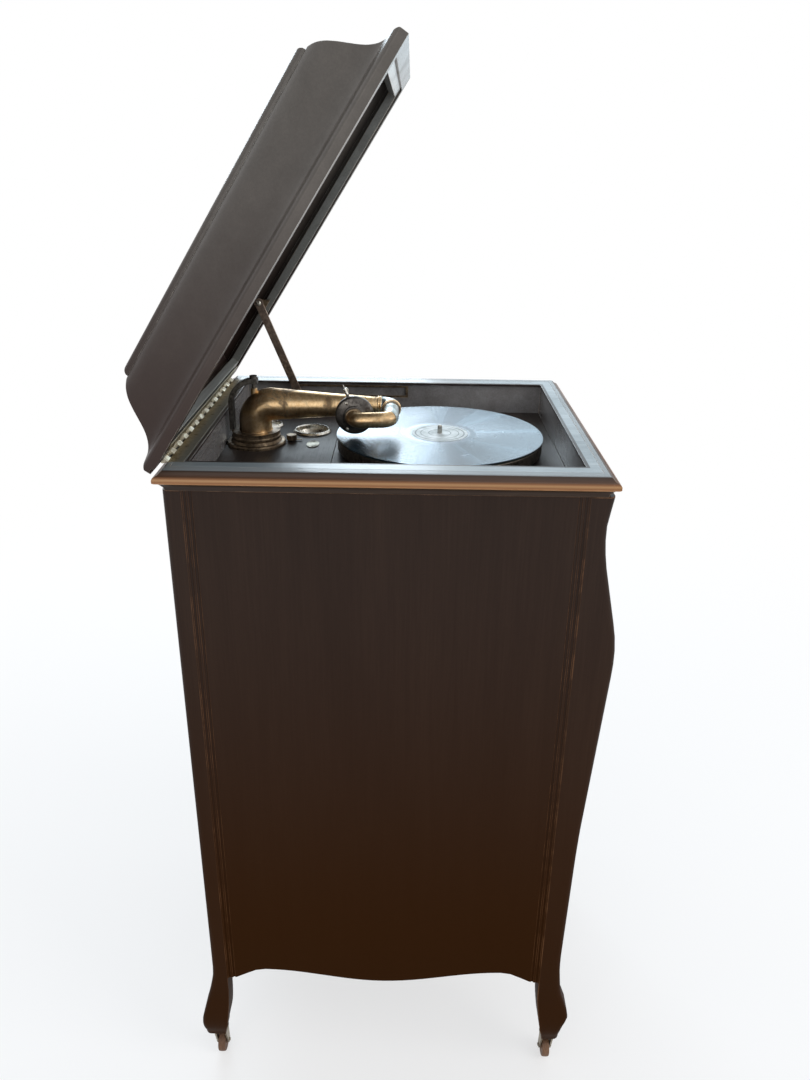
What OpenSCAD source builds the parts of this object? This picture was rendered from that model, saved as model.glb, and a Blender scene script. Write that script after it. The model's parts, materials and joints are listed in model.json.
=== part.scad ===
// Floor-standing cabinet gramophone with an internal horn, lid open.
// Millimetres, +Z up, front towards -Y, winding crank on the +X side.
// The origin lies on the floor under the middle of the whole machine's box.

/* [Cabinet] */
// Height of the rim round the well, above the floor
rim_h = 1040; // [900:1:1150]
// Width over the top moulding
top_w = 516; // [496:1:580]
// Depth over the top moulding
top_d = 562; // [550:1:620]
// How far the moulding stands out past the cabinet's sides
moulding_reach = 12; // [10:1:16]
// Height of the top moulding
moulding_h = 27; // [22:1:34]
// Thickness of the side panels
panel_t = 18; // [12:1:20]
// Width of the corner posts, seen from the front
post_w = 44; // [38:1:48]
// Depth of the corner posts before their front is shaped
post_d = 24; // [20:1:26]
// Distance from the rim down to the lower edge of the apron
apron_drop = 857; // [780:1:880]
// Height of the scallops in the apron
scallop_h = 22; // [10:1:34]
// Height of the feet's underside above the floor
foot_clear = 64; // [58:1:80]
// Thickness of the front rails and doors
door_t = 18; // [14:1:22]

/* [Well] */
// Width of the rim beside its opening, left and right
rim_side = 47; // [38:1:53]
// Depth of the opening in the rim
well_d = 490; // [480:1:500]
// Depth of the boards below the rim
well_h = 50; // [44:1:60]
// Thickness of the boards in the well
board_t = 16; // [12:1:20]
// Thickness of the rim plate
rim_t = 4; // [3:0.5:6]
// Where the two boards meet, behind the middle of the well
board_joint = 84; // [82:1:95]

/* [Lid] */
// How far the lid's front edge lies behind the edge of the top moulding
lid_set = 14; // [6:1:18]
// Height of the lid
lid_h = 95; // [88:1:120]
// Thickness of the lid's moulded walls
lid_wall = 16; // [12:1:20]
// Angle that the lid stands open
lid_open = 57; // [40:1:70]
// Length of one hinge knuckle
knuckle_l = 16; // [10:1:30]
// Number of hinge knuckles, both leaves together
knuckles = 27; // [15:2:31]

/* [Turntable] */
// Diameter of the record
record_dia = 302; // [250:1:305]
// Thickness of the record
record_t = 2.2; // [1.5:0.1:3]
// Diameter of the record's label
label_dia = 82; // [70:1:100]
// Depth of the record's top face below the rim
record_drop = 23; // [20:1:27]
// Diameter of the spindle where the record goes on
spindle_dia = 7.2; // [6.8:0.1:7.3]
// Distance of the spindle in front of the middle of the well
spindle_y = 71; // [66:1:76]

/* [Tonearm] */
// Distance of the tonearm's post to the right of the middle
arm_x = 25; // [20:1:32]
// Distance of the tonearm's post behind the middle
arm_y = 203; // [198:1:206]
// Height of the arm's axis above the rim
arm_rise = 10; // [7:1:14]
// Radius of the arm at its elbow
arm_r = 24; // [20:0.5:25]
// Radius of the arm at its tip
arm_tip_r = 13; // [12:0.5:14]
// Distance from the arm's post to the axis of the gooseneck's swivel
arm_l = 203; // [196:1:206]
// Radius of the gooseneck tube
neck_r = 11; // [8:0.5:12]
// Distance from the swivel's axis to the middle of the sound box
neck_l = 52.5; // [50:0.5:60]
// Radius of the sound box
box_r = 27.5; // [26:0.5:30]
// Angle of the parked neck below level
park_drop = 2; // [0:0.2:6]
// Angle of the parked needle above level
needle_rake = 68; // [60:1:75]

/* [Doors] */
// Distance from the rim down to the upper doors
upper_door_top = 192; // [170:1:200]
// Distance from the rim down to the shelf below the horn
shelf_drop = 440; // [420:1:460]
// Width of the rail between the upper and lower doors
mid_rail = 32; // [24:1:40]
// Width of the rail above the apron
low_rail = 30; // [24:1:40]
// Gap round each door
door_gap = 1; // [0.8:0.1:2]

/* [Motor] */
// Module of the main gears
gear_m = 2; // [1.8:0.1:2]
// Depth of the winding shaft below the rim
crank_drop = 98; // [97:0.5:100]
// Length of the crank's arm
crank_arm = 125; // [90:1:150]
// Length of the crank's wooden grip
grip_l = 88; // [70:1:100]

/* [Casters] */
// Radius of a caster's wheel
wheel_r = 18; // [15:0.5:20]
// Width of a caster's wheel
wheel_w = 13; // [10:0.5:16]
// Distance from the swivel's axis back to the wheel's axle
trail = 8; // [5:0.5:10]

/* [Hidden] */
$fn = 48;
fit = 0.05;      // radial clearance of a shaft in its bearing
gap = 0.5;       // clearance between pieces that pass each other
well_w = top_w - 2 * rim_side;
half_w = top_w / 2;
half_d = top_d / 2;
body_x = half_w - moulding_reach;
body_y = half_d - 7;
panel_in = body_x - panel_t;
post_in = body_x - post_w;
// Front faces of the doors and rails, and the shallowest front of the posts
door_y = -(half_d - 19);
door_back = door_y + door_t;
panel_front = -(half_d - 34);
panel_rear = body_y - post_d;
wood = "#5a2f1c";
dark_wood = "#3d2013";
gold = "#a8823c";
bronze = "#3a2e24";
steel = "#9a9a98";

function rim(z) = rim_h + z;

// Profile of the lid's moulded edge: inset from its edge, height
lid_points = [[0, 0], [0, 9], [1.5, 12], [5, 14.5], [10, 16], [16, 18], [22, 22.5], [28, 30],
  [33, 39], [38, 50], [43, 61], [49, 72], [56, 80.5], [63, 85.5], [66, 86.5],
  [66.5, 89.5], [68.5, 92.8], [71.5, 94.7], [74, 95]];
lid_edge = eased(lid_points, 3);
lid_scale = lid_h / 95;
hinge_y = half_d - 4;
hinge_z = 0.6;
lid_back = half_d;
lid_front = -(half_d - lid_set);

// Puts the cabinet's own frame, whose zero lies under the middle of the well, in the row's
module cabinet() { translate([-middle_x, -middle_y, 0]) children(); }
module at(x, y, z) { translate([x, y, z]) children(); }
// A block between two corners
module block(a, b) { translate(a) cube(b - a); }
// A round bar from a point along X, Y or Z
module bar_x(p, l, r) { translate(p) rotate([0, 90, 0]) cylinder(h = l, r = r); }
module bar_y(p, l, r) { translate(p) rotate([-90, 0, 0]) cylinder(h = l, r = r); }
module bar_z(p, l, r) { translate(p) cylinder(h = l, r = r); }
// A 2D outline in Y and Z, extruded along X from x0 to x1
module along_x(x0, x1) {
  translate([x0, 0, 0]) rotate([90, 0, 90]) linear_extrude(x1 - x0) children();
}
// A 2D outline in X and Z, extruded along Y from y0 to y1
module along_y(y0, y1) {
  translate([0, y1, 0]) rotate([90, 0, 0]) linear_extrude(y1 - y0) children();
}

// A closed skin over rings of equal length, each listed anticlockwise from above
module skin(rings) {
  n = len(rings[0]);
  last = len(rings) - 1;
  polyhedron(points = [for (r = rings) each r],
    faces = concat([[for (i = [0:n - 1]) i]],
      [for (k = [0:last - 1], i = [0:n - 1]) [k * n + (i + 1) % n, k * n + i, (k + 1) * n + i]],
      [for (k = [0:last - 1], i = [0:n - 1])
        [(k + 1) * n + (i + 1) % n, k * n + (i + 1) % n, (k + 1) * n + i]],
      [[for (i = [n - 1:-1:0]) last * n + i]]));
}
// A smooth curve through [place, value] pairs
function curve(list, t) =
  let (n = len(list) - 1,
    k = min(n - 1, max([0, for (i = [0:n - 1]) if (t >= list[i][0]) i])),
    a = list[max(0, k - 1)], b = list[k], c = list[k + 1], d = list[min(n, k + 2)],
    h = c[0] - b[0], s = (t - b[0]) / h,
    m0 = (k == 0 ? 0 : (c[1] - a[1]) / (c[0] - a[0]) * h),
    m1 = (k == n - 1 ? 0 : (d[1] - b[1]) / (d[0] - b[0]) * h))
  (2 * s^3 - 3 * s^2 + 1) * b[1] + (s^3 - 2 * s^2 + s) * m0
  + (3 * s^2 - 2 * s^3) * c[1] + (s^3 - s^2) * m1;

// The same outline with more points on it, along a smooth curve
function eased(list, parts) =
  let (last = len(list) - 1, insets = [for (i = [0:last]) [i, list[i][0]]],
    heights = [for (i = [0:last]) [i, list[i][1]]])
  [for (k = [0:last * parts]) [max(0, curve(insets, k / parts)), curve(heights, k / parts)]];

// Corner posts. Heights are shares of the post's length, 0 at the foot and 1 at the top
post_h = rim_h - moulding_h - foot_clear;
leg_in = 31;
apron_at = (rim_h - apron_drop - foot_clear) / post_h;
foot_top = apron_at * 0.8;
front_wave = [[0, 6], [foot_top * 0.2, 6.5], [foot_top * 0.4, 11], [foot_top * 0.55, 17],
  [foot_top * 0.75, 11.5], [foot_top * 0.95, 5], [apron_at, 1.2], [0.16, -1.4], [0.22, -1.3],
  [0.33, 0.8], [0.44, 3.8], [0.5, 7.2], [0.6, 13], [0.68, 17.6], [0.73, 20.6], [0.762, 21.4],
  [0.79, 19.2], [0.815, 14.6], [0.86, 5.2], [0.905, -4], [0.94, -7.9], [0.958, -8],
  [0.98, -5], [1, -2]];
rear_wave = [[0, 11], [foot_top * 0.25, 13.5], [foot_top * 0.4, 13], [foot_top * 0.6, 8],
  [foot_top * 0.8, 3], [apron_at, -6], [apron_at * 1.2, -7], [1, -7]];
side_wave = [[0, -4], [foot_top * 0.25, 3], [foot_top * 0.5, 2], [foot_top * 0.8, -9],
  [apron_at, -moulding_reach], [apron_at * 1.2, -moulding_reach], [1, -moulding_reach]];
function heel_y(y_in) = [[0, half_d - 22], [foot_top * 0.4, half_d - 29], [foot_top, y_in]];
heel_x = [[0, half_w - 36], [foot_top * 0.4, half_w - 41], [foot_top, body_x - leg_in],
  [apron_at * 1.05, body_x - leg_in], [apron_at * 1.3, post_in], [1, post_in]];
post_steps = [for (i = [0:16]) i * apron_at / 16, for (i = [1:42]) apron_at + i * (1 - apron_at) / 42];
corner_r = 9;

// Where the rear of the open lid reaches, and the front of the posts
lid_reach = max([for (p = lid_edge) hinge_y
  + (lid_back - hinge_y - p[0]) * cos(lid_open) + p[1] * lid_scale * sin(lid_open)]);
post_bulge = half_d + max([for (t = post_steps) curve(front_wave, t)]);
foot_reach = half_w + max([for (t = post_steps) curve(side_wave, t)]);
crank_face = body_x + 36;
grip_end = crank_face + 6 + grip_l;
middle_x = (grip_end - foot_reach) / 2;
middle_y = (lid_reach - post_bulge) / 2;

// One ring of a post at share t of its height; y_in is the post's inner face
function post_ring(t, wave, y_in) =
  let (x1 = half_w + curve(side_wave, t), y1 = half_d + curve(wave, t),
    x0 = max(post_in, curve(heel_x, t)), y0 = t < foot_top ? curve(heel_y(y_in), t) : y_in,
    z = foot_clear + t * post_h)
  [[x0, y0, z], [x1, y0, z],
    for (a = [0:22.5:90]) [x1 - corner_r + corner_r * cos(a), y1 - corner_r + corner_r * sin(a), z],
    [x0, y1, z]];
module post(wave, y_in) {
  difference() {
    skin([for (t = post_steps) post_ring(t, wave, y_in)]);
    bar_z([caster_x, caster_y, foot_clear - 1], socket_l + 1, socket_r + fit);
    block([0, 0, rim(-ledge_low)], [lining_x + lining_t, lining_y + lining_t, rim_h]);
  }
}
caster_x = half_w - 21;
caster_y = half_d - 10;
socket_r = 6.5;
socket_l = 34;
module front_posts() {
  color(wood) cabinet() for (s = [0, 1]) mirror([s, 0, 0]) mirror([0, 1, 0])
    post(front_wave, -panel_front);
}
module rear_posts() {
  color(wood) cabinet() for (s = [0, 1]) mirror([s, 0, 0]) post(rear_wave, panel_rear);
}

// Lower edge of an apron that runs from -r to r, at place y
function scallop(y, r) = let (crest = r * 0.76, u = abs(y))
  scallop_h * (u < crest ? (1 - cos(180 * u / crest)) / 2
    : (1 + cos(180 * (u - crest) / (r - crest))) / 2);
module apron_outline(y0, y1, top, low) {
  r = (y1 - y0) / 2;
  polygon([[y1, top], [y0, top],
    for (i = [0:32]) let (v = -r + i * r / 16) [(y0 + y1) / 2 + v, low + scallop(v, r)]]);
}
bead_r = 2.2;
module side_panels() {
  color(wood) cabinet() for (s = [0, 1]) mirror([s, 0, 0]) difference() {
    along_x(panel_in, body_x)
      apron_outline(panel_front, panel_rear, rim(-moulding_h), rim(-apron_drop));
    for (y = [panel_front + 4, panel_front + 11, panel_rear - 4, panel_rear - 11])
      bar_z([body_x + bead_r * 0.35, y, rim(-apron_drop) - 1], rim_h, bead_r);
    if (s == 0) bar_x([panel_in - 1, wind_y, rim(-crank_drop)], panel_t + 2, bush_r + fit);
  }
}
back_t = 8;
module back_panel() {
  color(dark_wood) cabinet()
    block([-post_in, panel_rear + 6, rim(-apron_drop) + 30],
      [post_in, panel_rear + 6 + back_t, rim(-moulding_h)]);
}

// Rails across the front, between the posts
lining_t = 8;
lining_x = well_w / 2 + 6;
lining_y = well_d / 2 + 2;
mid_top = shelf_drop - door_gap;
low_top = apron_drop - low_rail - 8;
module front_frame() {
  color(wood) cabinet() {
    difference() {
      block([-post_in, door_y, rim(-upper_door_top)], [post_in, door_back, rim(-moulding_h)]);
      block([-post_in - 1, -lining_y - lining_t, rim(-ledge_low)],
        [post_in + 1, door_back + 1, rim(0)]);
    }
    block([-post_in, door_y, rim(-mid_top - mid_rail)], [post_in, door_back, rim(-mid_top)]);
    along_y(door_y, door_back)
      apron_outline(-post_in, post_in, rim(-low_top), rim(-apron_drop));
  }
}

// Solid with a moulded outline on all four sides: profile is [inset, height] pairs
module moulded_block(x0, x1, y0, y1, profile) {
  n = len(profile) - 1;
  intersection() {
    along_y(y0, y1) polygon([for (p = profile) [x1 - p[0], p[1]],
      for (i = [n:-1:0]) [x0 + profile[i][0], profile[i][1]]]);
    along_x(x0, x1) polygon([for (p = profile) [y1 - p[0], p[1]],
      for (i = [n:-1:0]) [y0 + profile[i][0], profile[i][1]]]);
  }
}
moulding_edge = [[moulding_reach, -moulding_h], [moulding_reach - 1, -moulding_h + 4],
  [8, -moulding_h + 8], [5.5, -moulding_h + 10.5], [2, -moulding_h + 11.5], [0, -moulding_h + 13],
  [0, -10], [1, -8], [3, -6.6], [5.2, -5.8], [7.4, -4.2], [9, -2.2], [11, -0.8], [14, 0]];
rim_edge = 24;
module top_moulding() {
  color("#7a4c30") cabinet() at(0, 0, rim_h) difference() {
    moulded_block(-half_w, half_w, -half_d, half_d, moulding_edge);
    block([-lining_x - lining_t, -lining_y - lining_t, -moulding_h - 1],
      [lining_x + lining_t, lining_y + lining_t, 1]);
    block([-half_w + rim_edge, -half_d + rim_edge - 6, -rim_t],
      [half_w - rim_edge, half_d - rim_edge + 6, 1]);
    bar_x([-half_w, hinge_y, hinge_z], top_w, 4.2);
    block([-leaf_half, hinge_y - 26, -1.6], [leaf_half, hinge_y, 1]);
  }
}
module rim_plate() {
  color("#42403f") cabinet() difference() {
    block([-half_w + rim_edge, -half_d + rim_edge - 6, rim(-rim_t)],
      [half_w - rim_edge, half_d - rim_edge + 6, rim(0)]);
    block([-well_w / 2, -well_d / 2, rim(-rim_t) - 1], [well_w / 2, well_d / 2, rim(1)]);
    block([-leaf_half, hinge_y - 26, rim(-1.6)], [leaf_half, hinge_y, rim(1)]);
  }
}
board_low = well_h + board_t;
ledge_low = board_low + 14;
module well_lining() {
  color(dark_wood) cabinet() difference() {
    block([-lining_x - lining_t, -lining_y - lining_t, rim(-ledge_low)],
      [lining_x + lining_t, lining_y + lining_t, rim(-rim_t)]);
    block([-lining_x, -lining_y, rim(-board_low)], [lining_x, lining_y, rim(0)]);
    block([-lining_x + 12, -lining_y + 12, rim(-ledge_low) - 1],
      [lining_x - 12, lining_y - 12, rim(-board_low) + 1]);
    block([track_x0, track_y0, rim(track_z - track_h / 2)],
      [track_x0 + track_t, track_y1, rim(track_z + track_h / 2)]);
  }
}
module motor_board() {
  color("#4a2a1a") cabinet() difference() {
    block([-lining_x + 0.3, -lining_y + 0.3, rim(-board_low)],
      [lining_x - 0.3, board_joint - 0.3, rim(-well_h)]);
    bar_z([0, -spindle_y, rim(-board_low) - 1], board_t + 2, 12);
    bar_z([brake_p[0], brake_p[1], rim(-board_low) - 1], board_t + 2, 3.5 + fit);
  }
}
module arm_board() {
  color("#4a2a1a") cabinet() difference() {
    block([-lining_x + 0.3, board_joint + 0.3, rim(-board_low)],
      [lining_x - 0.3, lining_y - 0.3, rim(-well_h)]);
    bar_z([arm_x, arm_y, rim(-board_low) - 1], board_t + 2, throat_r + 3);
    bar_z([speed_p[0], speed_p[1], rim(-board_low) - 1], board_t + 2, 2.5 + fit);
    for (c = cups) bar_z([c[0], c[1], rim(-board_low) - 1], board_t + 2, c[2] - 2);
  }
}

// Shelf under the horn and the cabinet's bottom board
shelf_t = 15;
module cabinet_boards() {
  color(dark_wood) cabinet() {
    block([-panel_in, door_back, rim(-shelf_drop - shelf_t)], [panel_in, panel_rear, rim(-shelf_drop)]);
    block([-panel_in, door_back, rim(-low_top - shelf_t)], [panel_in, panel_rear, rim(-low_top)]);
  }
}
rack_n = 6;
rack_t = 5;
module record_rack() {
  color(dark_wood) cabinet() for (i = [1:rack_n])
    block([-panel_in + i * 2 * panel_in / (rack_n + 1) - rack_t / 2, door_back + 4, rim(-low_top)],
      [-panel_in + i * 2 * panel_in / (rack_n + 1) + rack_t / 2, panel_rear, rim(-shelf_drop - shelf_t)]);
}

// Internal horn: wooden flare, cast throat, slats across the mouth
horn_y0 = door_back + 22;
horn_y1 = 90;
throat_end = 46;
horn_t = 7;
horn_back_z = -310;
mouth_top = upper_door_top + 22;
mouth_low = shelf_drop;
module horn_shape(grow, over) {
  hull() {
    block([-panel_in + 14 - grow, horn_y0 - over, rim(-mouth_low) - grow],
      [panel_in - 14 + grow, horn_y0 + 1, rim(-mouth_top) + grow]);
    block([-throat_end - grow, horn_y1, rim(horn_back_z) - throat_end - grow],
      [throat_end + grow, horn_y1 + 1 + over, rim(horn_back_z) + throat_end + grow]);
  }
}
module horn_flare() {
  color("#6b3c22") cabinet() difference() {
    horn_shape(0, 0);
    horn_shape(-horn_t, 1);
  }
}
throat_r = 27;
throat_path = [[0, [arm_x, arm_y, -well_h - 4.2]], [0.25, [arm_x, arm_y, -150]],
  [0.5, [arm_x - 3, arm_y - 2, -215]],
  [0.75, [arm_x - 12, arm_y - 36, -284]], [1, [0, horn_y1 + 1.25, horn_back_z]]];
function throat_at(t, i) = curve([for (p = throat_path) [p[0], p[1][i]]], t);
function throat_mid(t) = [throat_at(t, 0), throat_at(t, 1), rim(throat_at(t, 2))];
function unit(v) = v / norm(v);
function throat_dir(t) = t < 0.01 ? [0, 0, -1] : t > 0.99 ? [0, -1, 0]
  : unit(throat_mid(t + 0.01) - throat_mid(t - 0.01));
throat_steps = 16;
module throat_tube(grow, over) {
  skin([for (k = [0:throat_steps]) let (t = k / throat_steps, d = throat_dir(t), side = [1, 0, 0],
    u = unit(side - (side * d) * d), w = cross(d, u), r = throat_r + (throat_end - throat_r - 6) * t + grow,
    shift = k == 0 ? -over * d : k == throat_steps ? over * d : [0, 0, 0])
    [for (a = [0:18:342]) throat_mid(t) + shift + r * cos(a) * u + r * sin(a) * w]]);
}
module horn_throat() {
  color("#2f2c2a") cabinet() difference() {
    throat_tube(0, 0);
    throat_tube(-4, 1);
  }
}
slat_n = 7;
module horn_slats() {
  color(wood) cabinet() {
    for (s = [-1, 1])
      block([s * (post_in - 8) - 7, door_back + 1, rim(-mouth_low)],
        [s * (post_in - 8) + 7, door_back + 19, rim(-mouth_top) + 8]);
    for (i = [0:slat_n - 1])
      along_x(-post_in + 14, post_in - 14)
        translate([door_back + 10, rim(-mouth_low) + 12 + i * (mouth_low - mouth_top - 18) / (slat_n - 1)])
          rotate(-24) polygon([[-8, -3], [8, -3], [8, 1], [6, 3], [-6, 3], [-8, 1]]);
  }
}

// Tonearm post, its arched bracket and the cups for needles
flange_r = 43.6;
base_h = 21.5;
module tonearm_base() {
  color(bronze) cabinet() at(arm_x, arm_y, rim(-well_h)) difference() {
    rotate_extrude() polygon([[arm_r + 1 + fit, -4], [throat_r + 2, -4], [throat_r + 2, 0],
      [flange_r, 0], [flange_r, 3], [flange_r - 1.5, 4.8], [38, 5.5], [36, 8], [35.2, 9], [36.2, 10.5],
      [36.2, 13.5], [35, 15], [35, base_h - 3], [36.2, base_h - 1.5], [36.2, base_h],
      [arm_r + 1 + fit, base_h]]);
    for (a = [30:90:300]) bar_z([40.2 * cos(a), 40.2 * sin(a), -1], 8, 2);
  }
}
arch_in = arm_r + 7;
arch_out = arm_r + 14;
module arm_bracket() {
  color(bronze) cabinet() at(arm_x, arm_y, 0) {
    difference() {
      along_x(-7, 7) union() {
        intersection() {
          translate([0, rim(arm_rise)]) difference() { circle(arch_out); circle(arch_in); }
          translate([0, rim(arm_rise)]) square(arch_out + 1);
        }
        translate([arch_in, rim(-well_h) + base_h]) square([arch_out - arch_in, well_h + arm_rise - base_h]);
        translate([-6, rim(arm_rise) + arch_in]) square([7, arch_out - arch_in]);
      }
      bar_z([0, 0, rim_h], 100, 3);
    }
    bar_z([0, 0, rim(arm_rise) + arm_r + 0.4 - 1], arch_out - arm_r + 4, 2.95);
    bar_z([0, 0, rim(arm_rise) + arch_out + 0.01], 4, 5.5);
  }
}
// Each cup: x, y, radius
cups = [[88, 126, 28], [118, 190, 14]];
module needle_cups() {
  color(steel) cabinet() for (c = cups) at(c[0], c[1], rim(-well_h))
    rotate_extrude() polygon([[0, -10], [c[2] - 7, -10], [c[2] - 2.2, -4], [c[2] - 2.2, 0], [c[2] + 1.5, 0],
      [c[2] + 1.5, 1.5], [c[2] - 0.5, 4], [c[2] - 2, 4.5], [c[2] - 3.4, 3], [c[2] - 3.6, -3],
      [c[2] - 8, -8.6], [0, -8.6]]);
}

// Lid: a moulded hollow cover, an inner frame and its hinge leaf, drawn open
module lid_place() {
  at(0, hinge_y, rim(hinge_z)) rotate([-lid_open, 0, 0]) at(0, -hinge_y, 0) children();
}
lid_core = [[lid_wall + 6, -1], [lid_wall + 6, 20], [lid_wall + 20, 36], [lid_wall + 36, 62],
  [lid_wall + 52, 77], [lid_wall + 66, 82]];
lid_steps = [for (p = lid_edge) [p[0], p[1] * lid_scale]];
core_steps = [for (p = lid_core) [p[0], p[1] < 0 ? p[1] : p[1] * lid_scale]];
module lid() {
  color(wood) cabinet() lid_place() difference() {
    moulded_block(-half_w, half_w, lid_front, lid_back, lid_steps);
    moulded_block(-half_w, half_w, lid_front, lid_back, core_steps);
    bar_x([-half_w - 1, hinge_y, 0], top_w + 2, 4.2);
    block([-leaf_half, hinge_y - 26, -1], [leaf_half, hinge_y, 1.6]);
  }
}
frame_in = lid_wall + 20;
module lid_frame() {
  color(dark_wood) cabinet() lid_place() difference() {
    block([-half_w + lid_wall + 6, lid_front + lid_wall + 6, 3],
      [half_w - lid_wall - 6, lid_back - lid_wall - 6, 15]);
    block([-half_w + frame_in, lid_front + frame_in, 2],
      [half_w - frame_in, lid_back - frame_in, 16]);
    block([-leaf_half, hinge_y - 26, -1], [leaf_half, hinge_y, 1.6]);
  }
}
knuckle_r = 3.4;
pin_r = 1.3;
leaf_half = knuckles * knuckle_l / 2;
leaf_t = 1.4;
// Hinge leaf with every second knuckle, flat below (side -1) or above (side 1) the pin
module hinge_leaf(side, first) {
  difference() {
    union() {
      block([-leaf_half + 0.3, hinge_y - 25.7, side > 0 ? 0.1 : -leaf_t - hinge_z],
        [leaf_half - 0.3, hinge_y - knuckle_r - 0.6, side > 0 ? 0.1 + leaf_t : -hinge_z - 0.1]);
      for (i = [first:2:knuckles - 1]) {
        bar_x([-leaf_half + i * knuckle_l + 0.3, hinge_y, 0], knuckle_l - 0.6, knuckle_r);
        block([-leaf_half + i * knuckle_l + 0.3, hinge_y - knuckle_r - 0.7,
            side > 0 ? 0.1 : -leaf_t - hinge_z],
          [-leaf_half + (i + 1) * knuckle_l - 0.3, hinge_y, side > 0 ? 0.1 + leaf_t : -hinge_z - 0.1]);
      }
    }
    bar_x([-leaf_half - 1, hinge_y, 0], 2 * leaf_half + 2, pin_r + fit);
  }
}
module lid_hinge_fixed() {
  color("#b8a878") cabinet() at(0, 0, rim(hinge_z)) {
    hinge_leaf(-1, 0);
    bar_x([-leaf_half, hinge_y, 0], 2 * leaf_half, pin_r);
  }
}
// Stay: it turns on a bracket in the lid, and its stud slides in a track on the well's wall
stay_u = 139;
stay_rise = 9;
stay_l = 156;
stay_x = well_w / 2 - 5;
stay_t = 2.5;
stay_w = 13;
stay_p = [hinge_y - stay_u * cos(lid_open + stay_rise), hinge_z + stay_u * sin(lid_open + stay_rise)];
track_z = -17;
stay_foot = stay_p[0] - sqrt(stay_l^2 - (stay_p[1] - track_z)^2);
stay_closed = [hinge_y - stay_u * cos(stay_rise), hinge_z + stay_u * sin(stay_rise)];
stay_front = stay_closed[0] - sqrt(stay_l^2 - (stay_closed[1] - track_z)^2);
track_h = 20;
track_t = 3;
track_x0 = lining_x - 0.01;
track_y0 = stay_front - 12;
track_y1 = stay_foot + 12;
module lid_hinge_leaf() {
  color("#b8a878") cabinet() lid_place() {
    hinge_leaf(1, 1);
    difference() {
      union() {
        block([stay_x + stay_t + 0.5, hinge_y - stay_u * cos(stay_rise) - 12, 9],
          [half_w - frame_in - 0.01, hinge_y - stay_u * cos(stay_rise) + 12, 11.5]);
        along_x(stay_x + stay_t + 0.5, stay_x + stay_t + 3) hull() {
          translate([hinge_y - stay_u * cos(stay_rise) - 12, 9]) square([24, 2.5]);
          translate([hinge_y - stay_u * cos(stay_rise), stay_u * sin(stay_rise)]) circle(6);
        }
      }
    }
    bar_x([stay_x - 2, hinge_y - stay_u * cos(stay_rise), stay_u * sin(stay_rise)], stay_t + 4, 2.5);
  }
}
module lid_stay() {
  a = atan2(track_z - stay_p[1], stay_foot - stay_p[0]);
  color(bronze) cabinet() at(stay_x, stay_p[0], rim(stay_p[1])) rotate([a, 0, 0]) {
    difference() {
      along_x(0, stay_t) union() {
        translate([0, -stay_w / 2]) square([stay_l, stay_w]);
        circle(stay_w / 2 + 1);
        translate([stay_l, 0]) circle(stay_w / 2);
      }
      bar_x([-1, 0, 0], stay_t + 2, 2.5 + fit);
    }
    bar_x([stay_t, stay_l, 0], track_x0 + 2 - stay_x - stay_t, 2.5);
  }
}
module stay_track() {
  color(bronze) cabinet() difference() {
    block([track_x0 + 0.01, track_y0 + 0.01, rim(track_z - track_h / 2 + 0.01)],
      [track_x0 + track_t, track_y1 - 0.01, rim(track_z + track_h / 2 - 0.01)]);
    block([track_x0 - 1, track_y0 + 4, rim(track_z - track_h / 2 + 3)],
      [track_x0 + track_t + 1, track_y1 - 4, rim(track_z + track_h / 2 - 3)]);
  }
}

// Doors. Each hangs on a pin in front of its outer edge
pin_x = post_in - 2.8;
pin_y = door_y - 3.2;
module door(side, top, low) {
  outer = post_in - door_gap;
  meet = door_gap * 0.8;
  color(wood) cabinet() mirror([side > 0 ? 1 : 0, 0, 0]) {
    difference() {
      block([-outer, door_y, rim(-low)], [-meet, door_back, rim(-top)]);
      difference() {
        block([-outer + 26, door_y - 1, rim(-low) + 26], [-meet - 26, door_y + 5, rim(-top) - 26]);
        block([-outer + 36, door_y - 2, rim(-low) + 36], [-meet - 36, door_y + 6, rim(-top) - 36]);
      }
      block([-outer + 40, door_y - 1, rim(-low) + 40], [-meet - 40, door_y + 1.5, rim(-top) - 40]);
      for (z = [rim(-low) + 40, rim(-top) - 40 - door_hinge_l])
        block([-outer - 1, door_y - 1, z - 0.5], [-outer + 1.65, door_back - 3, z + door_hinge_l + 0.5]);
      bar_y([-14, door_y - 1, rim(-(top + low) / 2)], 9.05, 3.05);
    }
    for (z = [rim(-low) + 40, rim(-top) - 40 - door_hinge_l]) difference() {
      union() {
        bar_z([-pin_x, pin_y, z + door_hinge_l / 3 + 0.3], door_hinge_l / 3 - 0.6, 2.6);
        block([-outer, pin_y, z + door_hinge_l / 3 + 0.3],
          [-outer + 1.6, door_y + 0.2, z + 2 * door_hinge_l / 3 - 0.3]);
        block([-outer, door_y, z], [-outer + 1.6, door_back - 3.2, z + door_hinge_l]);
      }
      bar_z([-pin_x, pin_y, z - 1], door_hinge_l + 2, 1.2 + fit);
    }
    at(-14, door_y - 0.05, rim(-(top + low) / 2)) rotate([90, 0, 0]) rotate_extrude()
      polygon([[0, -7.9], [3, -7.9], [3, 0], [9, 0], [9, 1.5], [5, 3], [4.5, 8], [8, 12], [10.5, 16],
        [10.8, 19], [9, 22], [5, 24], [0, 24.5]]);
  }
}
door_hinge_l = 48;
module upper_door_left() { door(-1, upper_door_top + door_gap, mid_top - door_gap); }
module upper_door_right() { door(1, upper_door_top + door_gap, mid_top - door_gap); }
module lower_door_left() { door(-1, mid_top + mid_rail + door_gap, low_top - door_gap); }
module lower_door_right() { door(1, mid_top + mid_rail + door_gap, low_top - door_gap); }
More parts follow.
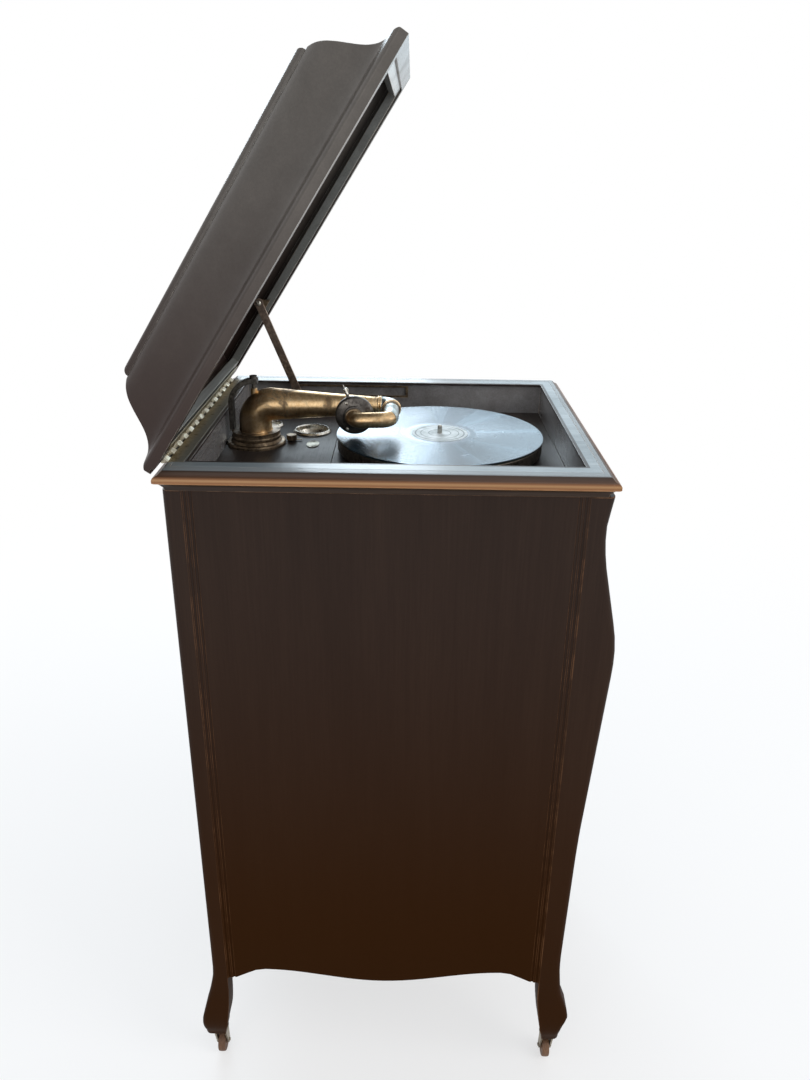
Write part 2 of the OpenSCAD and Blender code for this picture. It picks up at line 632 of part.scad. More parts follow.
module door_hinges() {
  color("#b8a878") cabinet() for (s = [0, 1]) mirror([s, 0, 0])
    for (d = [[upper_door_top + door_gap, mid_top - door_gap],
        [mid_top + mid_rail + door_gap, low_top - door_gap]])
      for (z = [rim(-d[1]) + 40, rim(-d[0]) - 40 - door_hinge_l]) {
        difference() {
          for (k = [0, 2]) {
            bar_z([-pin_x, pin_y, z + k * door_hinge_l / 3 + 0.3], door_hinge_l / 3 - 0.6, 2.6);
            block([-post_in + 0.01, pin_y - 0.6, z + k * door_hinge_l / 3 + 0.3],
              [-pin_x, pin_y + 0.6, z + (k + 1) * door_hinge_l / 3 - 0.3]);
          }
          bar_z([-pin_x, pin_y, z - 1], door_hinge_l + 2, 1.15);
        }
        bar_z([-pin_x, pin_y, z - 1], door_hinge_l + 2, 1.2);
      }
}

// Turntable, spindle and record
felt_t = 1.8;
platter_t = 4;
platter_rim = 17;
platter_r = record_dia / 2 - 1.5;
platter_top = -(record_drop + record_t + felt_t);
// The free end is thinner, so that a record drops on easily
spindle_tip_r = spindle_dia / 2 - 0.2;
module at_spindle() { cabinet() at(0, -spindle_y, rim_h) children(); }
module platter() {
  color(steel) at_spindle() rotate_extrude($fn = 120)
    polygon([[6, platter_top], [platter_r - 1, platter_top], [platter_r, platter_top - 1],
      [platter_r, platter_top - platter_rim + 1], [platter_r - 1, platter_top - platter_rim],
      [platter_r - 4, platter_top - platter_rim], [platter_r - 4, platter_top - platter_t],
      [20, platter_top - platter_t], [18, platter_top - platter_rim + 2],
      [6, platter_top - platter_rim + 2]]);
}
module felt() {
  color("#3b4a30") at_spindle() at(0, 0, platter_top) difference() {
    cylinder(h = felt_t, r = platter_r - 1.5, $fn = 120);
    at(0, 0, -1) cylinder(h = felt_t + 2, r = 9);
  }
}
module spindle() {
  color(steel) at_spindle() rotate_extrude()
    polygon([[0, -motor_low - 3], [5, -motor_low - 3], [5, platter_top - platter_rim],
      [6, platter_top - platter_rim], [6, platter_top], [8.4, platter_top],
      [8.4, -(record_drop + record_t)], [spindle_dia / 2 + 0.03, -(record_drop + record_t)],
      [spindle_dia / 2 + 0.03, -record_drop + 0.2], [spindle_tip_r, -record_drop + 0.6],
      [spindle_tip_r, -record_drop + 10], [spindle_tip_r - 1, -record_drop + 12],
      [0, -record_drop + 12.6]]);
  color(steel) at_spindle() at(0, 0, -idler_z1 - 0.1) difference() {
    linear_extrude(idler_z1 - idler_z0 + 0.2) gear_outline(spindle_teeth, fine_m, 0, 0.15);
    at(0, 0, -1) cylinder(h = 20, r = 5);
  }
  color(steel) at_spindle() at(0, 0, -governor_gear) difference() {
    linear_extrude(4) gear_outline(gov_wheel_teeth, 1, 0, 0.12);
    at(0, 0, -1) cylinder(h = 20, r = 5);
  }
}
module record() {
  color("#15161a") at_spindle() at(0, 0, -record_drop - record_t) difference() {
    cylinder(h = record_t, r = record_dia / 2, $fn = 120);
    at(0, 0, -1) cylinder(h = record_t + 2, r = spindle_dia / 2 + 0.06);
  }
  color("#c9bf9a") at_spindle() at(0, 0, -record_drop) difference() {
    cylinder(h = 0.2, r = label_dia / 2, $fn = 96);
    at(0, 0, -1) cylinder(h = 3, r = spindle_dia / 2 + 0.06);
  }
}

// Gear outline with involute flanks; turn is its phase in teeth, slack thins each tooth
function involute(rb, a) = [rb * (cos(a) + a * PI / 180 * sin(a)), rb * (sin(a) - a * PI / 180 * cos(a))];
function spin(p, a) = [p[0] * cos(a) - p[1] * sin(a), p[0] * sin(a) + p[1] * cos(a)];
module gear_outline(teeth, m, turn, slack) {
  rp = teeth * m / 2;
  rb = rp * cos(20);
  rt = rp + m * 0.9;
  rr = rp - m * 1.2;
  a_p = sqrt((rp / rb)^2 - 1) * 180 / PI;
  a_t = sqrt((rt / rb)^2 - 1) * 180 / PI;
  lean = atan2(involute(rb, a_p)[1], involute(rb, a_p)[0]);
  half = 90 / teeth - slack / rp * 180 / PI;
  low = max(rr, rb);
  a_l = low > rb ? sqrt((low / rb)^2 - 1) * 180 / PI : 0;
  flank = [for (i = [0:3]) spin(involute(rb, a_l + (a_t - a_l) * i / 3), -half - lean)];
  foot_a = atan2(flank[0][1], flank[0][0]);
  polygon([for (k = [0:teeth - 1]) each [for (p = concat([[rr * cos(foot_a), rr * sin(foot_a)]], flank,
    [for (i = [3:-1:0]) [flank[i][0], -flank[i][1]]], [[rr * cos(foot_a), -rr * sin(foot_a)]]))
    spin(p, (k + turn) * 360 / teeth)]]);
}
// Spring motor: every axis is upright but the winding shaft's
fine_m = 1.5;
barrel_teeth = 60;
pinion_teeth = 12;
idler_teeth = 50;
spindle_teeth = 14;
gov_wheel_teeth = 40;
gov_teeth = 10;
crown_teeth = 40;
wind_teeth = 12;
idler_a = 115;
barrel_a = 20;
gov_a = 200;
spindle_p = [0, -spindle_y];
idler_p = spindle_p + (idler_teeth + spindle_teeth) * fine_m / 2 * [cos(idler_a), sin(idler_a)];
barrel_p = idler_p + (barrel_teeth + pinion_teeth) * gear_m / 2 * [cos(barrel_a), sin(barrel_a)];
gov_p = spindle_p + (gov_wheel_teeth + gov_teeth) / 2 * [cos(gov_a), sin(gov_a)];
wind_y = barrel_p[1];
motor_top = 77;
motor_low = 212;
plate_t = 5;
idler_z0 = 103;
idler_z1 = 108;
barrel_z = 118;
governor_gear = 140;
gov_mid = motor_low - 39;
bush_r = 9;
shaft_r = 4.5;
// Phase of a follower's gear so that it meshes: its neighbour stands at angle a with phase 0
function mesh_phase(a, lead, lead_turn, own) = (180 + a) * own / 360
  + (a * lead / 360 - lead_turn) + 0.5;
module post_at(p, z0, z1, r) { bar_z([p[0], p[1], rim(-z1)], z1 - z0, r); }
module motor_frame() {
  x0 = barrel_p[0] - 100;
  x1 = barrel_p[0] + 66;
  y0 = -spindle_y - 32;
  y1 = barrel_p[1] + 68;
  color("#4c4f4c") cabinet() {
    difference() {
      union() {
        block([x0, y0, rim(-motor_top)], [x1, y1, rim(-motor_top + plate_t)]);
        block([x0, y0, rim(-motor_low - plate_t)], [x1, y1, rim(-motor_low)]);
        for (x = [x0 + 7, x1 - 7], y = [y0 + 7, y1 - 7]) {
          bar_z([x, y, rim(-motor_low)], motor_low - motor_top, 5);
          bar_z([x, y, rim(-motor_top + plate_t)], motor_top - plate_t - board_low, 6);
        }
        block([x1 - 9, wind_y - 13, rim(-crank_drop - 11)], [x1, wind_y + 13, rim(-motor_top)]);
      }
      bar_x([x1 - 10, wind_y, rim(-crank_drop)], 11, shaft_r + fit);
      for (p = [idler_p, gov_p]) post_at(p, motor_top - plate_t - 1, motor_low + plate_t + 1, 2.5 + fit);
      post_at(barrel_p, motor_top - plate_t - 1, motor_low + plate_t + 1, 5 + fit);
      post_at(spindle_p, motor_top - plate_t - 1, motor_low + 3.2, 5 + fit);
    }
  }
}
module spring_barrel() {
  color(steel) cabinet() difference() {
    union() {
      post_at(barrel_p, barrel_z + 8, motor_low - 8, barrel_teeth * gear_m / 2 - 4);
      at(barrel_p[0], barrel_p[1], rim(-barrel_z - 8)) linear_extrude(8)
        gear_outline(barrel_teeth, gear_m, mesh_phase(barrel_a, pinion_teeth, 0, barrel_teeth), 0.2);
      post_at(barrel_p, barrel_z - 5, barrel_z, 9);
    }
    post_at(barrel_p, 0, motor_low + 9, 5 + fit);
  }
}
module winding_wheel() {
  color("#9c8a56") cabinet() at(barrel_p[0], barrel_p[1], 0) {
    bar_z([0, 0, rim(-motor_low - plate_t + 1)], motor_low + plate_t - 1 - (motor_top - plate_t + 1), 5);
    difference() {
      union() {
        bar_z([0, 0, rim(-(crank_drop - wind_teeth * gear_m / 2 - 3))], 4, crown_teeth * gear_m / 2 + 3);
        bar_z([0, 0, rim(-(crank_drop - wind_teeth * gear_m / 2 - 3)) - 18], 18, 10);
      }
      bar_z([0, 0, rim(-motor_low)], motor_low, 5);
    }
    for (k = [0:crown_teeth - 1]) rotate((k + 0.5) * 360 / crown_teeth)
      along_x(crown_teeth * gear_m / 2 - 3, crown_teeth * gear_m / 2 + 3)
        translate([0, rim(-(crank_drop - wind_teeth * gear_m / 2))])
          polygon([[-1.9, 3.2], [-0.55, -1.5], [0.55, -1.5], [1.9, 3.2]]);
  }
}
module idler_gears() {
  color(steel) cabinet() {
    post_at(idler_p, motor_top - plate_t + 1, motor_low + plate_t - 1, 2.5);
    difference() {
      union() {
        at(idler_p[0], idler_p[1], rim(-barrel_z - 9)) linear_extrude(10)
          gear_outline(pinion_teeth, gear_m, 0, 0.15);
        at(idler_p[0], idler_p[1], rim(-idler_z1)) linear_extrude(idler_z1 - idler_z0)
          gear_outline(idler_teeth, fine_m, mesh_phase(idler_a, spindle_teeth, 0, idler_teeth), 0.15);
        post_at(idler_p, idler_z1, barrel_z, 6);
      }
      post_at(idler_p, idler_z0 - 1, barrel_z + 10, 2.5);
    }
  }
}
module governor() {
  color("#9c8a56") cabinet() at(gov_p[0], gov_p[1], 0) {
    bar_z([0, 0, rim(-motor_low - plate_t + 1)], motor_low + 2 * plate_t - 2 - motor_top, 2.5);
    difference() {
      union() {
        at(0, 0, rim(-governor_gear) - 1) linear_extrude(6)
          gear_outline(gov_teeth, 1, mesh_phase(gov_a, gov_wheel_teeth, 0, gov_teeth), 0.12);
        bar_z([0, 0, rim(-gov_mid - 27)], 2, 16);
        for (z = [17, -21]) bar_z([0, 0, rim(-gov_mid + z)], 4, 6);
      }
      bar_z([0, 0, rim(-motor_low)], motor_low, 2.5);
    }
    for (a = [0:120:240]) rotate(a) at(0, 0, rim(-gov_mid)) {
      at(11, 0, 0) sphere(5, $fn = 24);
      along_y(-3, 3) polygon([[5.5, 19], [11, 5], [11, -5], [5.5, -19], [4.9, -19], [10, -5], [10, 5],
        [4.9, 19]]);
    }
  }
}
pinion_x = barrel_p[0] + crown_teeth * gear_m / 2;
module winding_shaft() {
  color(steel) cabinet() {
    bar_x([pinion_x - 4, wind_y, rim(-crank_drop)], body_x - 4 - pinion_x, shaft_r);
    at(pinion_x - 3.5, wind_y, rim(-crank_drop)) rotate([90, 0, 90])
      linear_extrude(7) gear_outline(wind_teeth, gear_m, 0, 0.2);
  }
}
module crank_escutcheon() {
  color(steel) cabinet() at(body_x, wind_y, rim(-crank_drop)) rotate([0, 90, 0]) rotate_extrude()
    polygon([[shaft_r + 1.2 + fit, -panel_t - 3], [bush_r, -panel_t - 3], [bush_r, 0], [22, 0],
      [22, 1.5], [19, 3], [12, 3.6], [10, 6], [shaft_r + 1.2 + fit, 6]]);
}
crank_r = shaft_r + 1.2;
module crank() {
  color(steel) cabinet() at(0, wind_y, rim(-crank_drop)) {
    bar_x([body_x - 8 + 0.01, 0, 0], 8 + crank_face - body_x - 12, crank_r);
    at(crank_face - 12, 0, -12) rotate([90, 0, 0]) rotate_extrude(angle = 90)
      translate([12, 0]) circle(crank_r);
    bar_z([crank_face, 0, -crank_arm], crank_arm - 12, crank_r);
    bar_x([crank_face - crank_r, 0, -crank_arm], crank_r + 6 + grip_l - 4, 4);
    at(crank_face, 0, -crank_arm) sphere(crank_r + 1.5);
  }
}
module crank_grip() {
  color("#2a1a12") cabinet() at(crank_face + 6 + gap, wind_y, rim(-crank_drop) - crank_arm)
    rotate([0, 90, 0]) difference() {
      rotate_extrude() polygon([[0, 0], [9, 0], [10, 2], [8.5, 6], [10, 20], [13, 40], [14, 58], [12.5, 72],
        [9, grip_l - gap - 4], [5, grip_l - gap], [0, grip_l - gap]]);
      at(0, 0, -1) cylinder(h = grip_l - 2, r = 4 + fit);
    }
}
// Brake beside the turntable, and the speed regulator with its dial
pad_r = 4;
brake_a = 32;
brake_l = 36;
pad_p = [0, -spindle_y] + (platter_r + pad_r + 0.4) * [cos(brake_a), sin(brake_a)];
brake_p = pad_p + brake_l * [-sin(brake_a), cos(brake_a)];
module brake_lever() {
  color(steel) cabinet() at(brake_p[0], brake_p[1], rim(-well_h)) {
    bar_z([0, 0, -board_t], board_t + 3, 3.5);
    rotate(brake_a) {
      at(0, 0, 1) linear_extrude(2.5) union() {
        hull() { circle(6); translate([0, -brake_l]) circle(pad_r + 0.6); }
        hull() { circle(4.6); translate([26, 6]) circle(pad_r + 0.6); }
      }
      bar_z([0, -brake_l, 3.4], 14, pad_r);
      bar_z([26, 6, 3.4], 8, 4);
    }
  }
}
speed_p = [38, 152];
module speed_knob() {
  color(bronze) cabinet() at(speed_p[0], speed_p[1], rim(-well_h)) {
    bar_z([0, 0, -board_t], board_t + 4, 2.5);
    at(0, 0, 1.5) difference() {
      linear_extrude(8) union() {
        circle(7);
        for (a = [0:20:340]) rotate(a) translate([7, 0]) circle(0.7, $fn = 8);
      }
      at(0, 0, -1) cylinder(h = 4, r = 2.5);
    }
    at(0, 0, 1.5) linear_extrude(1) difference() {
      translate([-1.5, -16]) square([3, 10]);
      circle(7);
    }
  }
}
module speed_dial() {
  color("#b9b4a6") cabinet() at(20, 118, rim(-well_h)) linear_extrude(1.2) difference() {
    scale([1, 0.55]) circle(17);
    for (s = [-1, 1]) translate([s * 12.5, 0]) circle(1.4);
  }
}

// Tonearm: upright stub, elbow, tapered tube and a cross elbow at its tip
cross_r = arm_tip_r + 2;
elbow_r = arm_r + 2;
taper_start = arm_y - elbow_r;
swivel_y = arm_y - arm_l;
taper_end = swivel_y + cross_r + 6;
module tonearm() {
  color(gold) cabinet() at(arm_x, 0, rim(arm_rise)) {
    bar_z([0, arm_y, -well_h - arm_rise + 1], well_h + arm_rise - 1 - elbow_r, arm_r);
    bar_z([0, arm_y, -well_h - arm_rise + 1], 20, arm_r + 1);
    at(0, taper_start, -elbow_r) rotate([90, 0, 90]) rotate_extrude(angle = 90, $fn = 64)
      translate([elbow_r, 0]) circle(arm_r);
    bar_z([0, arm_y, elbow_r * 0.5], arm_r - elbow_r * 0.5 - 0.6, 5);
    at(0, taper_start, 0) rotate([90, 0, 0])
      cylinder(h = taper_start - taper_end, r1 = arm_r, r2 = arm_tip_r - 0.5, $fn = 64);
    at(0, taper_end, 0) rotate([90, 0, 0]) cylinder(h = 6, r = arm_tip_r + 1.2);
    at(-cross_r, swivel_y + cross_r, 0) rotate([0, 0, -90]) rotate_extrude(angle = 90)
      translate([cross_r, 0]) circle(arm_tip_r);
    bar_x([-cross_r - 3, swivel_y, 0], 3, arm_tip_r + 0.8);
  }
}
neck_face = arm_x - cross_r - 3 - 0.4;
box_t = 18;
neck_bend = 14;
screw_reach = 9.2;
box_back = -(box_t + screw_reach + spindle_dia / 2 + 0.7);
neck_far = box_back - 5 - neck_bend;
// Puts the neck's plane, drawn level, at the parked angle about the swivel
module at_neck() {
  cabinet() at(0, swivel_y, rim(arm_rise)) rotate([-park_drop, 0, 0]) children();
}
module gooseneck() {
  color(gold) at_neck() {
    bar_x([neck_face - 4, 0, 0], 4, arm_tip_r);
    bar_x([neck_far + neck_bend, 0, 0], neck_face - 4 - neck_far - neck_bend, neck_r);
    at(neck_far + neck_bend, neck_bend, 0) rotate([0, 0, 180])
      rotate_extrude(angle = 90) translate([neck_bend, 0]) circle(neck_r);
    bar_y([neck_far, neck_bend, 0], neck_l - 2 * neck_bend, neck_r);
    at(neck_far + neck_bend, neck_l - neck_bend, 0) rotate([0, 0, 90])
      rotate_extrude(angle = 90) translate([neck_bend, 0]) circle(neck_r);
    bar_x([neck_far + neck_bend, neck_l, 0], box_back - neck_far - neck_bend, neck_r);
  }
}
module at_box() { at_neck() at(box_back, neck_l, 0) rotate([0, 90, 0]) children(); }
module sound_box() {
  color("#4a4542") at_box() rotate_extrude($fn = 72)
    polygon([[0, 0], [neck_r + 3, 0], [neck_r + 4, 2], [20, 4], [box_r - 3, 5], [box_r, 7.5],
      [box_r, box_t - 3.5],
      [box_r - 1, box_t - 2], [box_r - 2.5, box_t - 1.5], [box_r - 4, box_t - 2.5], [box_r - 4.5, box_t - 5],
      [box_r - 4.5, box_t - 8], [0, box_t - 10]]);
}
module diaphragm() {
  color("#b9a98a") at_box() {
    difference() {
      at(0, 0, box_t - 7.9) cylinder(h = 2.6, r = box_r - 4.6, $fn = 72);
      at(0, 0, box_t - 9) cylinder(h = 5, r = box_r - 8, $fn = 72);
    }
    at(0, 0, box_t - 6.9) cylinder(h = 0.5, r = box_r - 8, $fn = 72);
  }
}
socket_in = box_r + 1;
module at_needle() {
  at_neck() at(box_back + box_t, neck_l, 0) rotate([needle_rake + park_drop, 0, 0]) children();
}
module needle_bar() {
  color(steel) at_needle() {
    bar_x([-6.3, 0, 0], 6.8, 1.2);
    block([0.5, -2, -1.6], [3, socket_in + 9, 1.6]);
    difference() {
      bar_y([1.6, socket_in, 0], 10, 2.6);
      bar_y([1.6, socket_in + 3, 0], 10, 0.9);
    }
    bar_y([1.6, socket_in + 3, 0], 13.5, 0.8);
  }
}
module needle_screw() {
  color(steel) at_needle() {
    bar_x([4.3, socket_in + 6, 0], 3.4, 1.4);
    bar_x([screw_reach - 3, socket_in + 6, 0], 3, 3.6);
  }
}

// Casters
caster_at = [[-1, -1], [1, -1], [-1, 1], [1, 1]];
module at_caster(i) { cabinet() at(caster_at[i][0] * caster_x, caster_at[i][1] * caster_y, 0) children(); }
stem_r = 4;
module caster_sockets() {
  color(steel) for (i = [0:3]) at_caster(i) difference() {
    union() {
      bar_z([0, 0, foot_clear], socket_l - 2, socket_r);
      bar_z([0, 0, foot_clear - 3], 3, 13);
    }
    bar_z([0, 0, foot_clear - 4], socket_l - 2, stem_r + fit);
  }
}
module caster_fork(i) {
  color(steel) at_caster(i) {
    bar_z([0, 0, foot_clear - 6], socket_l - 4, stem_r);
    bar_z([0, 0, foot_clear - 6.5], 3, 11.5);
    for (s = [-1, 1]) at(0, 0, 0) along_y(s > 0 ? wheel_w / 2 + 1 : -wheel_w / 2 - 3.5,
        s > 0 ? wheel_w / 2 + 3.5 : -wheel_w / 2 - 1) hull() {
      translate([-9, foot_clear - 6.5]) square([18, 3]);
      translate([trail, wheel_r]) circle(5);
    }
    bar_y([trail, -wheel_w / 2 - 5, wheel_r], wheel_w + 10, 2.5);
  }
}
module caster_wheel(i) {
  color("#6d675c") at_caster(i) at(trail, wheel_w / 2, wheel_r) rotate([90, 0, 0]) rotate_extrude()
    polygon([[2.5 + fit, -0.5], [6, -0.5], [6, 0.5], [wheel_r - 1.5, 0.5], [wheel_r, 2],
      [wheel_r, wheel_w - 2],
      [wheel_r - 1.5, wheel_w - 0.5], [6, wheel_w - 0.5], [6, wheel_w + 0.5], [2.5 + fit, wheel_w + 0.5]]);
}

front_posts();
rear_posts();
side_panels();
back_panel();
front_frame();
top_moulding();
rim_plate();
well_lining();
motor_board();
arm_board();
cabinet_boards();
record_rack();
horn_flare();
horn_throat();
horn_slats();
tonearm_base();
arm_bracket();
needle_cups();
motor_frame();
crank_escutcheon();
door_hinges();
lid_hinge_fixed();
stay_track();
caster_sockets();
speed_dial();
lid();
lid_frame();
lid_hinge_leaf();
lid_stay();
upper_door_left();
upper_door_right();
lower_door_left();
lower_door_right();
spring_barrel();
winding_wheel();
idler_gears();
governor();
winding_shaft();
crank();
crank_grip();
brake_lever();
speed_knob();
platter();
felt();
spindle();
record();
tonearm();
gooseneck();
sound_box();
diaphragm();
needle_bar();
needle_screw();
caster_fork(0);  // caster_fork_1
caster_wheel(0);  // caster_wheel_1
caster_fork(1);  // caster_fork_2
caster_wheel(1);  // caster_wheel_2
caster_fork(2);  // caster_fork_3
caster_wheel(2);  // caster_wheel_3
caster_fork(3);  // caster_fork_4
caster_wheel(3);  // caster_wheel_4
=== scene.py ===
"""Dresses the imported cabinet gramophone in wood, brass, nickel and shellac.

Sizes in the classes are millimetres in the cabinet's own frame: X to the crank's side and Y to
the rear from the middle of the well, Z up from the top of the rim. PLACE turns them into metres
in the frame of the model. Sub-assemblies are classes, finishes are frozen dataclasses, and what
repeats or follows a path is made by Geometry Nodes.
"""

import json  # noqa: E402
import logging  # noqa: E402
import math  # noqa: E402
from collections.abc import Callable, Sequence  # noqa: E402
from dataclasses import dataclass, field  # noqa: E402
from enum import Enum  # noqa: E402

import bmesh  # noqa: E402
import bpy  # noqa: E402
from mathutils import Matrix, Vector  # noqa: E402

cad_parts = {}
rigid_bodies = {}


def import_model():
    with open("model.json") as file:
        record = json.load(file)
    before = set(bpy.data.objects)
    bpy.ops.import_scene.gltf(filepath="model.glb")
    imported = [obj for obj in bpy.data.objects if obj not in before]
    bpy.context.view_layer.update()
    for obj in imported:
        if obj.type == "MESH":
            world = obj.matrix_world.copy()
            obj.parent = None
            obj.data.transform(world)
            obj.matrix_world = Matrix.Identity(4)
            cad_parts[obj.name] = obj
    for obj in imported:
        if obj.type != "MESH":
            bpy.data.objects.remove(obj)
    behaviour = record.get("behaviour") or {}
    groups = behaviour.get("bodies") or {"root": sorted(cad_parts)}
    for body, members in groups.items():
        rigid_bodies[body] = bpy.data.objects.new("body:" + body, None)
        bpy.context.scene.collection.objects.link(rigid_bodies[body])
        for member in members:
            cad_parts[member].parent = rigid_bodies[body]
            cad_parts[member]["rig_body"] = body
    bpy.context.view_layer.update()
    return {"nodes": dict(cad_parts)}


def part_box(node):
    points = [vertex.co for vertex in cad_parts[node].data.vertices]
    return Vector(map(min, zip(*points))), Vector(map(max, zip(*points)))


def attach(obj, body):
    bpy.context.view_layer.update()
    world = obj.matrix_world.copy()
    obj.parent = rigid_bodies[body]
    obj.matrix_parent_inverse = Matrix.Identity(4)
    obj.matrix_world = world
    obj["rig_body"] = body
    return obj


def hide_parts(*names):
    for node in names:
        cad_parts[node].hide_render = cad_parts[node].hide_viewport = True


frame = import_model()
LOG = logging.getLogger("gramophone")
MM = 0.001
MERGE = 2e-6  # points of a mesh that are closer than this, in metres, become one
MERGE_FINE = 1e-6  # the same for what Geometry Nodes make, and for slivers
THIN = 1e-4  # smallest radius of a turned shape, in millimetres
FLAT = math.radians(0.6)  # neighbouring faces that differ by less become one
SHARP = 35.0  # degrees above which an edge stays sharp
Colour = tuple[float, float, float, float]
Step = tuple[Vector, float]
Spot = tuple[Vector, Vector, float, float]


def _place() -> Matrix:
    """Matrix from the cabinet's millimetres to the model's metres.

    Returns:
        The matrix, found from the boxes of the moulding and the rim plate.
    """
    low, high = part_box("top_moulding")
    middle = (low + high) / 2
    return Matrix.Translation((middle.x, middle.y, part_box("rim_plate")[1].z)) @ Matrix.Scale(MM, 4)


PLACE = _place()
LOCAL = PLACE.inverted()  # back to the cabinet's millimetres
RIM_Z = PLACE.translation.z


def srgb(red: float, green: float, blue: float) -> Colour:
    """Linear colour of a display colour given from 0 to 255.

    Args:
        red: Red share.
        green: Green share.
        blue: Blue share.

    Returns:
        The linear colour with alpha 1.
    """
    parts = [((c / 255 + 0.055) / 1.055) ** 2.4 if c > 10.3 else c / 255 / 12.92
             for c in (red, green, blue)]
    return (parts[0], parts[1], parts[2], 1.0)


class Axis(Enum):
    """Direction of a grain or of a turned piece."""

    X = 0
    Y = 1
    Z = 2


# ---- Node trees


class Sock:
    """A node's output that is used in expressions."""

    def __init__(self, tree: "Tree", socket: bpy.types.NodeSocket) -> None:
        """Keeps the tree and the socket.

        Args:
            tree: Tree that the socket is in.
            socket: The output.
        """
        self.tree = tree
        self.socket = socket

    def _maths(self, operation: str, first: "Sock | float", second: "Sock | float") -> "Sock":
        """Adds a Math node for one operation."""
        return self.tree.add("ShaderNodeMath", {"operation": operation}, {0: first, 1: second})

    def __add__(self, other: "Sock | float") -> "Sock":
        """Sum."""
        return self._maths("ADD", self, other)

    def __sub__(self, other: "Sock | float") -> "Sock":
        """Difference."""
        return self._maths("SUBTRACT", self, other)

    def __rsub__(self, other: float) -> "Sock":
        """Difference from a number on the left."""
        return self._maths("SUBTRACT", other, self)

    def __mul__(self, other: "Sock | float") -> "Sock":
        """Product."""
        return self._maths("MULTIPLY", self, other)

    def sine(self) -> "Sock":
        """Sine of the value, in radians."""
        return self._maths("SINE", self, 0.0)

    def size(self) -> "Sock":
        """The value without its sign."""
        return self._maths("ABSOLUTE", self, 0.0)

    def highest(self, other: "Sock | float") -> "Sock":
        """The larger of this value and another."""
        return self._maths("MAXIMUM", self, other)

    def lowest(self, other: "Sock | float") -> "Sock":
        """The smaller of this value and another."""
        return self._maths("MINIMUM", self, other)


class Tree:
    """A node tree that is filled by one method."""

    def __init__(self, tree: bpy.types.NodeTree) -> None:
        """Empties the tree.

        Args:
            tree: Shader or geometry tree.
        """
        self.tree = tree
        tree.nodes.clear()

    def add(self, kind: str, settings: dict[str, object] | None = None,
            inputs: dict[int | str, object] | None = None, output: int | str = 0) -> Sock:
        """Adds a node.

        Args:
            kind: The node's type.
            settings: Its settings, set first. "stops" holds a ramp's stops.
            inputs: Values or links of its sockets.
            output: Which output is returned.

        Returns:
            The output.
        """
        node = self.tree.nodes.new(kind)
        for name, value in (settings or {}).items():
            if name == "stops":
                ramp = node.color_ramp
                for index, (at, colour) in enumerate(value):
                    stop = ramp.elements[index] if index < 2 else ramp.elements.new(at)
                    stop.position, stop.color = at, colour
            else:
                setattr(node, name, value)
        for key, value in (inputs or {}).items():
            if isinstance(value, Sock):
                self.tree.links.new(value.socket, node.inputs[key])
            else:
                node.inputs[key].default_value = value
        return Sock(self, node.outputs[output] if len(node.outputs) else None)


